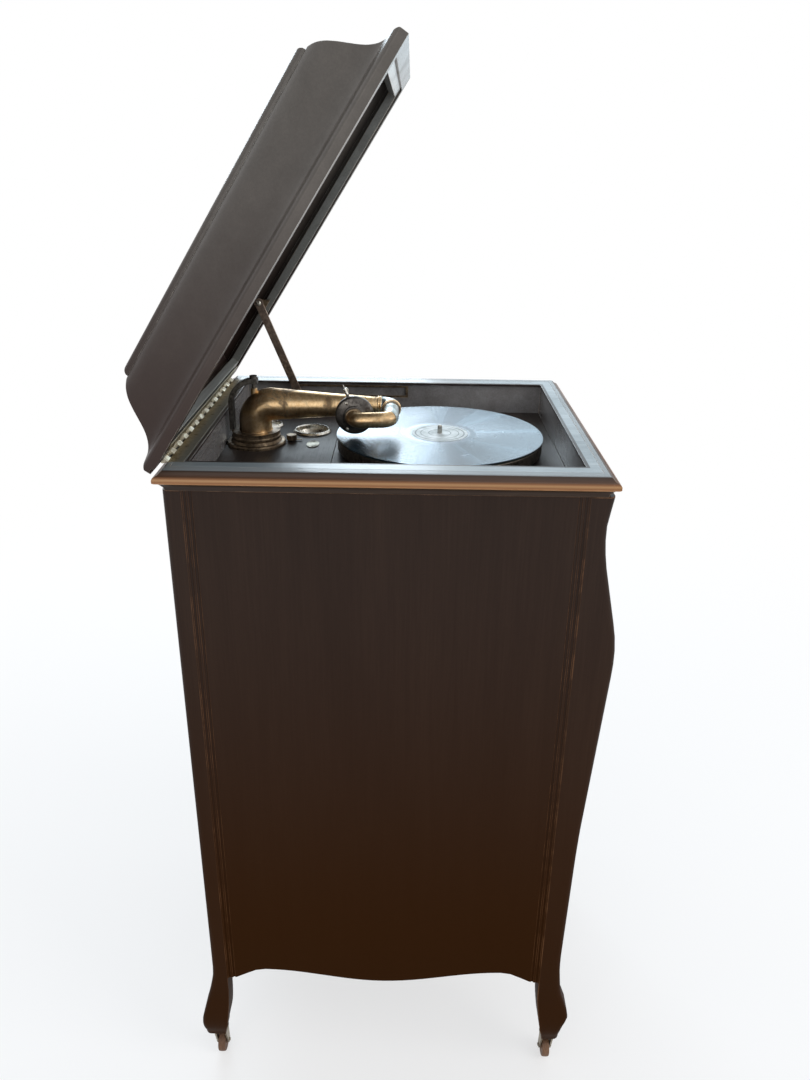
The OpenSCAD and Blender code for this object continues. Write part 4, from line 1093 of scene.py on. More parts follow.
def slotted_head(radius: float = 3.0, height: float = 1.1) -> Shape:
    """Domed screw head with a slot, along +Z.

    Args:
        radius: Radius of the head.
        height: Height of the dome.

    Returns:
        The shape: two half domes and the floor of the slot.
    """
    shape = Shape()
    slot, steps = radius * 0.16, 8
    for side in (-1, 1):
        rings = []
        for share, level in ((1.0, -0.3), (1.0, 0.15), (0.92, 0.5), (0.7, 0.82), (0.35, 1.0)):
            ring = []
            for i in range(steps + 1):
                a = math.pi * i / steps
                y = max(slot, radius * share * math.sin(a)) if 0 < i < steps else slot
                x = radius * share * math.cos(a)
                ring.append(Vector((side * x, side * y, height * level)))
            rings.append(ring)
        shape.join(loft(rings))
    reach = radius * 0.98
    return shape.join(box_shape((-reach, -slot, -0.3), (reach, slot, height * 0.3)))


SHOP = Workshop()
TUBES = TubeTree()
STUDS = StudTree()


def arc(centre: Vector, first: Vector, second: Vector, steps: int = 12) -> list[Vector]:
    """A quarter turn from centre + first to centre + second.

    Args:
        centre: Centre of the turn.
        first: Arm to its start.
        second: Arm to its end.
        steps: Number of parts.

    Returns:
        The points, both ends among them.
    """
    angles = [math.pi / 2 * i / steps for i in range(steps + 1)]
    return [centre + first * math.cos(a) + second * math.sin(a) for a in angles]


def add_tube(name: str, path: Sequence[Step], node: str, finish: Finish,
             segments: int = 40, replace: bool = True) -> bpy.types.Object:
    """Makes a piece of a tube on a path.

    Args:
        name: Name of the piece.
        path: Point and radius of each step.
        node: CAD node whose body it takes.
        finish: Its finish.
        segments: Steps round the tube.
        replace: Whether it stands for the node.

    Returns:
        The object.
    """
    mesh = TUBES.make(path, segments, SHOP.material(finish))
    return SHOP.settle(name, mesh, node, finish, replace)


def add_screws(name: str, points: Sequence[Spot], node: str,
               finish: Metal, height: float = 1.1) -> bpy.types.Object:
    """Puts slotted screw heads on points.

    Args:
        name: Name of the piece.
        points: Place, direction, size and turn of each head.
        node: CAD node whose body it takes.
        finish: Its finish.
        height: Height of the dome.

    Returns:
        The object.
    """
    mesh = STUDS.make(slotted_head(height=height), points, SHOP.material(finish))
    return SHOP.settle(name, mesh, node, finish, False)


# ---- The finishes of this gramophone

WELL_HALF = (211.0, 245.0)
STAIN = dict(dark=srgb(35, 25, 20), middle=srgb(45, 33, 27), light=srgb(56, 42, 34),
             worn_and_lit=srgb(128, 90, 62), low=srgb(51, 29, 12))
PANEL = Wood("panel_mahogany", **STAIN, calm=2.0, gloss=0.24, shine=0.0, rough=0.5)
POST = Wood("post_mahogany", **STAIN, calm=1.6, wear=0.55, gloss=0.22, shine=0.02, rough=0.46)
RAIL = Wood("rail_mahogany", **STAIN, calm=1.4, grain=Axis.X, gloss=0.3, shine=0.2)
# The lid's grey tones are a painted sheen that gives way to the darker wood colour lower down; its
# pale edge colour paints a highlight along the rounded edges.
LID_WOOD = Wood("lid_mahogany", srgb(69, 64, 59), srgb(84, 79, 74), srgb(98, 92, 86),
                srgb(196, 190, 178), grain=Axis.X, gloss=0.4, rough=0.36, calm=1.8, shine=0.2,
                wear=1.0, low=srgb(48, 32, 28), low_from=RIM_Z, low_to=RIM_Z + 0.42)
LID_INSIDE = Wood("lid_underside", srgb(90, 89, 85), srgb(112, 114, 111), srgb(134, 137, 134),
                  srgb(140, 128, 110), grain=Axis.X, gloss=0.5, rough=0.3, calm=1.5)
# The rim plate's pale blue-grey tones paint the reflection of a bright window on its dark polished
# veneer.
RIM_REFLECTION_TONES = (srgb(104, 113, 118), srgb(133, 144, 149), srgb(161, 171, 175))
# Moulding bands by height: a painted shadow line under the rim, brown tones with painted highlights
# on the rounds, a bright painted highlight line at the lip's lower edge and painted shade in the
# cove below it; the top takes the rim's painted reflection.
MOULDING = Wood("moulding_mahogany", srgb(80, 52, 34), srgb(120, 86, 58), srgb(150, 112, 78),
                srgb(206, 168, 132), grain=Axis.Y, wear=0.4, shine=0.25, gloss=0.3, tone_and_light_bands=(
                    (-27, srgb(22, 15, 12)), (-17.5, srgb(16, 11, 9)), (-16.2, srgb(226, 172, 122)),
                    (-14.4, srgb(172, 120, 76)), (-12.5, srgb(138, 94, 60)),
                    (-9.5, srgb(178, 136, 94)), (-7.4, srgb(130, 88, 58)), (-6, srgb(78, 58, 48)),
                    (-3.6, srgb(62, 52, 48)), (-0.9, srgb(40, 36, 35)), (-0.4, RIM_REFLECTION_TONES[1]),
                    (0, RIM_REFLECTION_TONES[1])))
RIM = Wood("rim_veneer", *RIM_REFLECTION_TONES, srgb(198, 196, 190), grain=Axis.Y, gloss=0.3, rough=0.3,
           shine=0.35, wear=0.5, edging=(*WELL_HALF, 5.0, srgb(38, 28, 26)))
BOARD = Wood("board_mahogany", srgb(32, 27, 25), srgb(52, 46, 43), srgb(74, 66, 61),
             srgb(206, 204, 198), grain=Axis.X, gloss=0.05, rough=0.46, shine=0.15, wear=1.2)
# The lining's pale grey tones paint the sheen that its polished wood reflects.
LINING = Wood("lining_mahogany", srgb(96, 92, 90), srgb(132, 130, 130), srgb(160, 160, 161),
              srgb(176, 158, 140), grain=Axis.X, gloss=0.9, rough=0.24, calm=1.6)
INSIDE = Wood("inside_wood", srgb(30, 18, 12), srgb(46, 29, 20), srgb(62, 41, 28),
              srgb(90, 60, 42), grain=Axis.X, gloss=0.1, rough=0.55)
HORN = Wood("horn_wood", srgb(70, 40, 22), srgb(98, 60, 36), srgb(122, 80, 50),
            srgb(140, 98, 64), grain=Axis.X, gloss=0.3)
GRIP = Wood("grip_wood", srgb(18, 12, 9), srgb(30, 20, 15), srgb(44, 30, 22),
            srgb(90, 62, 42), grain=Axis.X, gloss=0.7, rough=0.25)
ROLLER = Wood("roller_wood", srgb(70, 46, 30), srgb(104, 72, 48), srgb(130, 94, 64),
              srgb(150, 116, 84), gloss=0.1, rough=0.6)
# The arm's root darkens towards the rear, between Y 194 and 209 mm.
OLD_GOLD = Metal("old_gold", srgb(246, 216, 170), srgb(214, 178, 130), srgb(80, 66, 54),
                 share=0.45, grime=0.8, y_fade=(194, 209))
NECK_GOLD = Metal("neck_gold", srgb(222, 194, 152), srgb(182, 148, 106), srgb(76, 62, 48),
                  share=0.45)
# Pale metal of the arm's bends, made nearly white as a painted highlight.
ELBOW_HIGHLIGHT = Metal("elbow_plate", srgb(206, 216, 216), srgb(158, 168, 168), srgb(72, 76, 74),
              share=0.55, rough=0.3)
BRONZE = Metal("dark_bronze", srgb(150, 132, 108), srgb(90, 78, 66), srgb(44, 38, 33), share=0.55,
               rough=0.36)
BRACKET = Metal("bracket_enamel", srgb(118, 114, 108), srgb(70, 67, 64), srgb(42, 39, 37),
                share=0.5, rough=0.34, dull=0.5)
BOX_METAL = Metal("sound_box_metal", srgb(112, 108, 104), srgb(58, 55, 53), srgb(30, 28, 27),
                  share=0.5, rough=0.36)
NICKEL = Metal("worn_nickel", srgb(216, 214, 206), srgb(170, 166, 156), srgb(92, 82, 66),
               share=0.3, rough=0.22)
PLATTER = Metal("platter_plate", srgb(112, 106, 98), srgb(66, 61, 56), srgb(34, 30, 27),
                share=0.55, rough=0.42)
DIAL = Metal("dial_metal", srgb(176, 174, 162), srgb(122, 118, 106), srgb(58, 54, 46), share=0.6,
             rough=0.45, dull=0.5)
HINGE = Metal("hinge_metal", srgb(244, 240, 226), srgb(214, 206, 182), srgb(168, 160, 138),
              share=0.7, rough=0.28, grime=0.8, dull=0.35)
# The leaf darkens to a grey away from the knuckles, between Y 268 and 256 mm.
LEAF = Metal("leaf_metal", srgb(176, 162, 132), srgb(134, 122, 98), srgb(96, 102, 102),
             share=0.2, rough=0.4, dull=0.3, y_fade=(268, 256))
STAY = Metal("stay_metal", srgb(168, 150, 136), srgb(112, 99, 90), srgb(58, 50, 45), share=0.5,
             rough=0.38)
IRON = Metal("japanned_iron", srgb(70, 70, 68), srgb(42, 42, 41), srgb(22, 21, 20), share=0.5,
             rough=0.42, dull=0.6)
MOTOR_IRON = Metal("motor_enamel", srgb(96, 100, 94), srgb(68, 72, 68), srgb(38, 38, 34),
                   share=0.45, rough=0.4, dull=0.5)
STEEL = Metal("oiled_steel", srgb(190, 188, 182), srgb(140, 138, 132), srgb(66, 58, 46),
              share=0.4, turned=Axis.Z)
BRASS = Metal("cut_brass", srgb(224, 190, 120), srgb(176, 142, 80), srgb(84, 64, 34), share=0.4)
CASTER = Metal("caster_plate", srgb(170, 160, 142), srgb(118, 108, 92), srgb(60, 48, 36),
               share=0.5, rough=0.36)
MICA = Soft("mica_disc", srgb(150, 138, 112), srgb(186, 174, 148), 400, 0.25)
RUBBER = Soft("rubber_gasket", srgb(34, 31, 29), srgb(52, 47, 43), 700, 0.8)
FELT = Soft("turntable_felt", srgb(30, 44, 30), srgb(48, 62, 42), 1600, 0.95, 0.5, 0.4)


# ---- Cabinet


@dataclass
class Hinge:
    """The long hinge of the lid: two leaves whose knuckles alternate on one pin."""

    y: float = 277.0
    z: float = 0.6
    half: float = 216.0
    count: int = 27
    knuckle: float = 16.0
    knuckle_r: float = 3.4
    leaf_t: float = 1.3
    depth: float = 25.7
    notch: float = 6.4
    gap: float = 0.3  # at each end of a knuckle
    apart: float = 0.1  # half the distance between the leaves
    # Thickness of the dark sheet of painted shade under the knuckles.
    shade_sheet_t: float = 0.15
    screws: int = 9
    screw_in: float = 15.5  # from the pin
    sunk: float = 0.14  # depth in the leaf at which a head starts
    steps: int = 22

    def leaf(self, node: str, first: int, place: Matrix) -> None:
        """Makes one leaf with its knuckles, and its screws.

        Args:
            node: CAD node of the leaf.
            first: Number of the leaf's first knuckle: 0 fixed, 1 moving.
            place: Where a leaf drawn shut goes.
        """
        long, end = self.knuckle - 2 * self.gap, self.half - self.gap
        low, high = ((self.apart, self.apart + self.leaf_t) if first
                     else (-self.apart - self.leaf_t, -self.apart))
        plate = box_shape((-end, self.y - self.depth, low), (end, self.y - self.notch, high))
        outline = self.section(0.0 if first else self.z, low, high)
        knuckles = Shape()
        for i in range(first, self.count, 2):
            x = self.gap + i * self.knuckle - self.half
            knuckles.join(loft([[Vector((at, y, z)) for y, z in outline] for at in (x, x + long)]))
        SHOP.build(node + "_plate", plate.put(place), node, LEAF, bevel=0.25)
        SHOP.build(node + "_knuckles", knuckles.put(place), node, HINGE, replace=False, bevel=0.45,
                   sharp=50)
        if not first:
            # A thin dark sheet in the rim's recess under the knuckles: painted shade, seen in the
            # gaps between them.
            shade_sheet = box_shape((-end, self.y - self.notch - 0.5, low - self.shade_sheet_t),
                            (end, self.y - 0.5, low))
            SHOP.build(node + "_bed", shade_sheet, node, IRON, replace=False)
        down = Vector((0, 0, -1 if first else 1))
        face = low + self.sunk if first else high - self.sunk
        row = (self.screws - 1) / 2
        heads = [(place @ Vector((self.half * (k / row - 1) * 0.94, self.y - self.screw_in, face)),
                  place.to_3x3() @ down, 1.1, 0.6 * k) for k in range(self.screws)]
        add_screws(node + "_screws", heads, node, BRONZE, 0.2)

    def section(self, axis: float, low: float, high: float) -> list[tuple[float, float]]:
        """Outline of a knuckle that runs out into its leaf.

        Args:
            axis: Height of the pin.
            low: Underside of the leaf.
            high: Upper side of the leaf.

        Returns:
            The outline in Y and Z: most of a circle, and the leaf's edge.
        """
        r, edge = self.knuckle_r, self.notch - 0.05
        over, under = high - axis, low - axis
        upper = math.pi - math.atan2(over, edge) - math.acos(r / math.hypot(edge, over))
        lower = math.atan2(under, edge) - math.pi + math.acos(r / math.hypot(edge, under))
        turns = [lower + (upper - lower) * k / self.steps for k in range(self.steps + 1)]
        points = [(self.y + r * math.cos(t), axis + r * math.sin(t)) for t in turns]
        return points + [(self.y - edge, high), (self.y - edge, low)]


@dataclass
class Cabinet:
    """The box on its posts, its boards, horn, doors and hinges."""

    copies: tuple[tuple[str, Wood | Metal, float], ...] = (
        ("front_posts", POST, 1.2), ("rear_posts", POST, 1.2), ("side_panels", PANEL, 0.7),
        ("back_panel", INSIDE, 0.8), ("front_frame", RAIL, 0.9), ("top_moulding", MOULDING, 0.9),
        ("rim_plate", RIM, 0.7), ("well_lining", LINING, 0.6), ("motor_board", BOARD, 1.2),
        ("arm_board", BOARD, 1.2), ("cabinet_boards", INSIDE, 0.6), ("record_rack", INSIDE, 0.6),
        ("horn_flare", HORN, 0.6), ("horn_throat", IRON, 0.5), ("horn_slats", RAIL, 0.7),
        ("stay_track", BRONZE, 0.3), ("speed_dial", DIAL, 0.25),
        ("crank_escutcheon", NICKEL, 0.3), ("needle_cups", NICKEL, 0.25),
        ("caster_sockets", CASTER, 0.4), ("door_hinges", HINGE, 0.2))
    leaf_wide: float = 12.0  # a door's solids that are narrower are hinge leaves
    knob_wide: float = 60.0  # those between are knobs
    escutcheon_lip: float = 4.6
    escutcheon_screw_r: float = 17.0
    back_screws: int = 6
    back_screw_in: tuple[float, float] = (14.0, 40.0)  # from the panel's side and end

    def build(self) -> None:
        """Makes every piece of the cabinet."""
        for node, finish, bevel in self.copies:
            SHOP.refine(node, finish, bevel)
        self.doors()
        Hinge().leaf("lid_hinge_fixed", 0, Matrix.Identity(4))
        self.small_screws()

    def doors(self) -> None:
        """Makes the four doors: panels, turned knobs and hinge leaves."""
        for row in ("upper", "lower"):
            for side in ("left", "right"):
                node = f"{row}_door_{side}"
                big = SHOP.refine(node, RAIL, 0.9, name=node + "_panel",
                                  keep=lambda lo, hi: hi.x - lo.x > self.knob_wide)
                SHOP.refine(node, HINGE, 0.2, name=node + "_leaves", replace=False,
                            keep=lambda lo, hi: hi.x - lo.x < self.leaf_wide)
                SHOP.refine(node, BRASS, 0.15, name=node + "_knob", replace=False,
                            keep=lambda lo, hi: self.leaf_wide < hi.x - lo.x < self.knob_wide)

    def small_screws(self) -> None:
        """Puts screws in the escutcheon and along the back panel."""
        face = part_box("crank_escutcheon")
        centre = LOCAL @ ((face[0] + face[1]) / 2)
        out, r = (LOCAL @ face[1]).x - self.escutcheon_lip, self.escutcheon_screw_r
        heads = [(Vector((out, centre.y + r * math.cos(a), centre.z + r * math.sin(a))),
                  Vector((1, 0, 0)), 0.8, a) for a in (0.5, 2.6, 4.7)]
        add_screws("escutcheon_screws", heads, "crank_escutcheon", NICKEL)
        low, high = (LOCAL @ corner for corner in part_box("back_panel"))
        side, end = self.back_screw_in
        tall = high.z - low.z - 2 * end
        heads = [(Vector((x, high.y - 0.3, low.z + end + tall * k / (self.back_screws - 1))),
                  Vector((0, 1, 0)), 1.3, 0.7 * k + x) for x in (low.x + side, high.x - side)
                 for k in range(self.back_screws)]
        add_screws("back_panel_screws", heads, "back_panel", BRONZE)


@dataclass
class Lid:
    """The hollow lid, its frame, hinge leaf and stay."""

    hinge_y: float = 277.0
    hinge_z: float = 0.6
    opened: float = 57.0
    bracket_wide: float = 60.0  # the leaf's solids that are narrower are the bracket
    pin_x: float = 206.0
    pin_away: float = 139.0  # from the hinge to the pin of the stay
    pin_rise: float = 9.0  # degrees over the lid's plane

    @property
    def place(self) -> Matrix:
        """Place of the open lid, drawn shut."""
        pivot = shift(0, self.hinge_y, self.hinge_z)
        return pivot @ turn(Axis.X, -self.opened) @ shift(0, -self.hinge_y, 0)

    def build(self) -> None:
        """Makes the lid, its frame, hinge leaf and stay."""
        SHOP.refine("lid", LID_WOOD, 0.9)
        SHOP.refine("lid_frame", LID_INSIDE, 0.6)
        Hinge(y=self.hinge_y, z=self.hinge_z).leaf("lid_hinge_leaf", 1, self.place)
        SHOP.refine("lid_hinge_leaf", BRONZE, 0.25, name="stay_bracket", replace=False,
                    keep=lambda lo, hi: hi.x - lo.x < self.bracket_wide)
        SHOP.refine("lid_stay", STAY, 0.5)
        rise = math.radians(self.pin_rise)
        back, up = self.pin_away * math.cos(rise), self.pin_away * math.sin(rise)
        pin = self.place @ Vector((self.pin_x, self.hinge_y - back, up))
        add_screws("stay_pin_head", [(pin + Vector((-1.6, 0, 0)), Vector((-1, 0, 0)), 1.5, 0.6)],
                   "lid_hinge_leaf", NICKEL)


@dataclass
class Turntable:
    """Platter, felt, spindle and the record with its label."""

    spindle_y: float = -71.0
    record_top: float = -23.0
    record_t: float = 2.2
    record_r: float = 151.0
    label_r: float = 41.0
    hole_r: float = 3.66

    def build(self) -> None:
        """Makes the turntable and what lies on it."""
        SHOP.refine("platter", PLATTER, 0.4)
        SHOP.refine("felt", FELT, 0.2)
        SHOP.refine("spindle", STEEL, 0.15)
        centre = PLACE @ Vector((0, self.spindle_y, 0))
        at = (centre.x, centre.y)
        place = shift(0, self.spindle_y, self.record_top)
        r, t, label = self.record_r, self.record_t, self.label_r
        disc = [(self.hole_r, -t), (r - 0.9, -t), (r - 0.2, -t + 0.5), (r, -t / 2),
                (r - 0.2, -0.35), (r - 0.8, 0.0), (r - 1.8, 0.02), (r - 3.2, -0.18),
                (label + 12, -0.18), (label + 10.8, -0.05), (label + 1.2, -0.05),
                (label + 0.4, -0.3), (self.hole_r, -0.3)]
        SHOP.build("record_disc", turned(disc, place, 192, around=True), "record",
                   Shellac("shellac", at))
        paper = [(self.hole_r, -0.28), (label, -0.28), (label, 0.04), (label - 0.5, 0.1),
                 (17.5, 0.1), (16.8, 0.2), (16.0, 0.1), (self.hole_r, 0.1)]
        SHOP.build("record_label", turned(paper, place, 96, around=True), "record",
                   Label("paper_label", at), replace=False)


@dataclass
class Arm:
    """Tonearm with its collar and bracket, gooseneck, sound box and needle."""

    x: float = 25.0
    y: float = 203.0
    rise: float = 10.0
    reach: float = 203.0
    root_r: float = 24.0
    tip_r: float = 13.0
    neck_r: float = 11.0
    neck_l: float = 52.5
    box_r: float = 27.5
    box_t: float = 18.0
    box_back: float = -31.5
    bow: float = 2.0  # an elbow's middle line beyond the tube's radius
    ring_l: float = 6.0
    tuck: float = 0.6  # how much thinner the tube ends than its ring
    taper: float = 0.92
    steps: int = 12
    bend: float = 14.0
    joint: int = 5  # point of the neck's path where its pale bend with the painted highlight ends
    drop: float = 2.0  # degrees that the parked neck hangs
    rake: float = 68.0  # degrees from the level to the parked needle
    well: float = -50.0
    collar_t: float = 3.6
    collar_screw_r: float = 40.2
    box_screw_r: float = 21.5
    teeth: int = 64
    ribs: int = 20

    @property
    def neck_place(self) -> Matrix:
        """Place of the neck, drawn level, at its parked angle."""
        return shift(0, self.y - self.reach, self.rise) @ turn(Axis.X, -self.drop)

    @property
    def box_place(self) -> Matrix:
        """Place of the sound box: its axis is Z, its front upwards."""
        return self.neck_place @ shift(self.box_back, self.neck_l, 0) @ TO_X

    @property
    def needle_place(self) -> Matrix:
        """Place of the stylus bar, which runs along Y."""
        return (self.neck_place @ shift(self.box_back + self.box_t, self.neck_l, 0)
                @ turn(Axis.X, self.rake + self.drop))

    def build(self) -> None:
        """Makes the whole arm."""
        self.collar()
        self.arm()
        self.gooseneck()
        self.sound_box()
        self.needle()

    def collar(self) -> None:
        """Makes the ringed collar, the arched bracket and their screws."""
        SHOP.refine("tonearm_base", BRONZE, 0.5)
        SHOP.refine("arm_bracket", BRACKET, 0.9)
        reach, face = self.collar_screw_r, self.well + self.collar_t
        heads = [(Vector((self.x + reach * math.cos(a), self.y + reach * math.sin(a), face)),
                  Vector((0, 0, 1)), 0.8, a) for a in spread(4, 30)]
        add_screws("collar_screws", heads, "tonearm_base", NICKEL)

    def arm(self) -> None:
        """Makes the tapered tube with its elbows, and the rings."""
        elbow, cross, top = self.root_r + self.bow, self.tip_r + self.bow, self.rise
        start, end = self.y - elbow, self.y - self.reach + cross + self.ring_l
        path: list[Step] = [
            (Vector((self.x, self.y, self.well + 1)), self.root_r),
            (Vector((self.x, self.y, top - elbow - 4)), self.root_r)]
        path += [(p, self.root_r) for p in arc(Vector((self.x, start, top - elbow)),
                                               Vector((0, elbow, 0)), Vector((0, 0, elbow)))]
        for k in range(1, self.steps + 1):
            share = k / self.steps
            girth = self.root_r + (self.tip_r - self.tuck - self.root_r) * share ** self.taper
            path.append((Vector((self.x, start + (end - start) * share, top)), girth))
        add_tube("tonearm_tube", path, "tonearm", OLD_GOLD, 56)
        bend = [Vector((self.x, end, top))]
        bend += arc(Vector((self.x - cross, end - self.ring_l, top)), Vector((cross, 0, 0)),
                    Vector((0, -cross, 0)))
        bend.append(Vector((self.x - cross - 2.6, self.y - self.reach, top)))
        add_tube("tonearm_elbow", [(p, self.tip_r) for p in bend], "tonearm", ELBOW_HIGHLIGHT, 48, False)
        self.arm_rings(cross, end)

    def arm_rings(self, cross: float, end: float) -> None:
        """Makes the ring at each end of the tube, the elbow's lip and the hub on top.

        Args:
            cross: Radius of the cross elbow's middle line.
            end: Y of the tube's end.
        """
        r, top = self.tip_r, self.rise
        ring = rounded([(r - 1, 0), (r + 0.8, 0.3), (r + 1.2, 1.8), (r + 0.4, 3), (r + 1.2, 4.2),
                        (r + 0.8, 5.7), (r - 1, self.ring_l)])
        worn_and_lit = [0.9 if away > r + 0.9 else 0.2 for away, _ in ring]
        rings = lathe(ring, 48, worn_and_lit).put(shift(self.x, end - self.ring_l, top) @ TO_Y)
        rings.join(turned([(r - 1, 0), (r + 0.8, 0.4), (r + 0.8, 2.6), (r - 1, 3)],
                          shift(self.x - cross - 3, self.y - self.reach, top) @ TO_X, 48, 4, 0.8))
        r = self.root_r
        rings.join(turned([(r - 1, 0), (r + 1, 0.5), (r + 1, 19), (r - 1, 20)],
                          shift(self.x, self.y, self.well + 1), 56, 3))
        rings.join(turned([(0, 0), (5, 0), (5, 10), (4.4, 10.6), (0, 10.6)],
                          shift(self.x, self.y, top + r - 11.2), 32))
        SHOP.build("tonearm_rings", rings, "tonearm", OLD_GOLD, replace=False)

    def gooseneck(self) -> None:
        """Makes the folding neck between the arm and the sound box."""
        face = self.x - self.tip_r - self.bow - 3.4
        far = self.box_back - 5 - self.bend
        b, place = self.bend, self.neck_place
        bent = [Vector((face - 3, 0, 0))]
        bent += arc(Vector((far + b, b, 0)), Vector((0, -b, 0)), Vector((-b, 0, 0)))
        path = bent[self.joint:]
        path += arc(Vector((far + b, self.neck_l - b, 0)), Vector((-b, 0, 0)), Vector((0, b, 0)))
        path.append(Vector((self.box_back + 1, self.neck_l, 0)))
        add_tube("gooseneck_tube", [(place @ p, self.neck_r) for p in path], "gooseneck",
                 NECK_GOLD, 44)
        add_tube("gooseneck_bend", [(place @ p, self.neck_r + 0.02) for p in bent[:self.joint + 1]],
                 "gooseneck", ELBOW_HIGHLIGHT, 44, False)
        r = self.tip_r
        collar = rounded([(r - 3, 0), (r - 0.3, 0.4), (r, 1.2), (r, 3.2), (r - 0.6, 4)])
        rings = lathe([(1, 0)] + collar + [(1, 4)], 48, [0.7] * (len(collar) + 2)).put(
            place @ shift(face - 4, 0, 0) @ TO_X)
        n = self.neck_r
        rings.join(turned([(n, 0), (n + 1.6, 0.8), (n + 2.2, 3), (n + 1.0, 5.6), (n, 6)],
                          place @ shift(self.box_back - 6, self.neck_l, 0) @ TO_X, 48, 4, 0.6))
        SHOP.build("gooseneck_rings", rings, "gooseneck", BRONZE, replace=False)

    def sound_box(self) -> None:
        """Makes the sound box, its gasket, diaphragm and screws."""
        n, r, t, place = self.neck_r, self.box_r, self.box_t, self.box_place
        back = [(0, 0), (n + 3, 0), (n + 4, 1), (n + 4.2, 2.2), (n + 6, 3), (19, 3.6), (r - 6, 4.2),
                (r - 4, 5), (r - 3, 5.2), (r - 1.2, 6), (r - 0.2, 7.2), (r, 8.4)]
        front = [(r, t - 4.6), (r - 0.3, t - 3.4), (r - 1.2, t - 2.1), (r - 2.6, t - 1.5),
                 (r - 3.8, t - 2.2), (r - 4.4, t - 3.6), (r - 4.5, t - 7), (r - 5, t - 8.2),
                 (0, t - 9.6)]
        shape = lathe(back + front, 72, [0.9 if rr > r - 0.5 else 0.15 for rr, _ in back + front])
        SHOP.build("sound_box_body", shape.put(place), "sound_box", BOX_METAL, sharp=50)
        knurl = prism([(-0.42, -0.5), (0.42, -0.5), (0.16, 0.25), (-0.16, 0.25)], 0, t - 13.6)
        edge = Shape()
        for a in spread(self.teeth):
            edge.join(Shape(list(knurl.points), list(knurl.faces), list(knurl.wear)).put(
                Matrix.Rotation(a - math.pi / 2, 4, "Z") @ shift(0, r - 0.25, 8.8)))
        SHOP.build("sound_box_knurl", edge.put(place), "sound_box", BOX_METAL, replace=False)
        gasket = rounded([(r - 8, -7.9), (r - 8.6, -6.6), (r - 7, -5.4), (r - 5, -5.6),
                          (r - 4.6, -7.0)], 3)
        SHOP.build("sound_box_gasket", turned([(rr, t + z) for rr, z in gasket], place, 72),
                   "diaphragm", RUBBER, replace=False)
        disc = [(0, t - 6.9), (r - 7, t - 6.9), (r - 7, t - 6.4), (0, t - 6.4)]
        SHOP.build("diaphragm_disc", turned(disc, place, 72), "diaphragm", MICA)
        reach = self.box_screw_r
        heads = [(place @ Vector((reach * math.cos(a), reach * math.sin(a), 3.7)),
                  place.to_3x3() @ Vector((0, 0, -1)), 0.75, a) for a in spread(3, 30)]
        add_screws("sound_box_screws", heads, "sound_box", NICKEL)

    def needle(self) -> None:
        """Makes the stylus bar, its socket, the needle and its screw."""
        place, rim = self.needle_place, self.box_r + 1
        bar = []
        for y, half, thick in ((-2, 1.6, 1.0), (6, 1.3, 0.9), (14, 1.1, 0.9), (rim - 6, 1.4, 1.0),
                               (rim - 1, 2.2, 1.3), (rim + 2, 2.2, 1.3)):
            bar.append([Vector((1.7 + sx * thick, y, sz * half)) for sx, sz in
                        ((-1, -1), (1, -1), (1, 1), (-1, 1))])
        shape = loft(bar).join(box_shape((-0.4, rim - 6, -5), (2.4, rim - 2.5, 5)))
        shape.join(turned([(0, -6.3), (1.2, -6.3), (1.2, 0.8), (0, 0.8)], TO_X, 16))
        socket = [(0.9, 0), (2.3, 0.2), (2.6, 1.2), (2.6, 8.6), (2.2, 9.8), (0.9, 10)]
        shape.join(turned(socket, shift(1.6, rim, 0) @ TO_Y, 28, 3, around=True))
        SHOP.build("stylus_bar", shape.put(place), "needle_bar", NICKEL, bevel=0.2)
        point = [(0, 0), (0.8, 0), (0.8, 9.5), (0.55, 11.5), (0.05, 13.5)]
        SHOP.build("needle", turned(point, place @ shift(1.6, rim + 3, 0) @ TO_Y, 16),
                   "needle_bar", STEEL, replace=False)
        head = lathe([(0, 0), (1.4, 0), (1.4, 2.0), (3.2, 2.2), (3.6, 2.8), (3.6, 4.4), (3.1, 5.0),
                      (0, 5.1)], 28)
        for a in spread(self.ribs):
            head.join(box_shape((-0.2, 3.3, 2.6), (0.2, 3.75, 4.6)).put(Matrix.Rotation(a, 4, "Z")))
        SHOP.build("needle_thumbscrew", head.put(place @ shift(4.2, rim + 6, 0) @ TO_X),
                   "needle_screw", NICKEL)


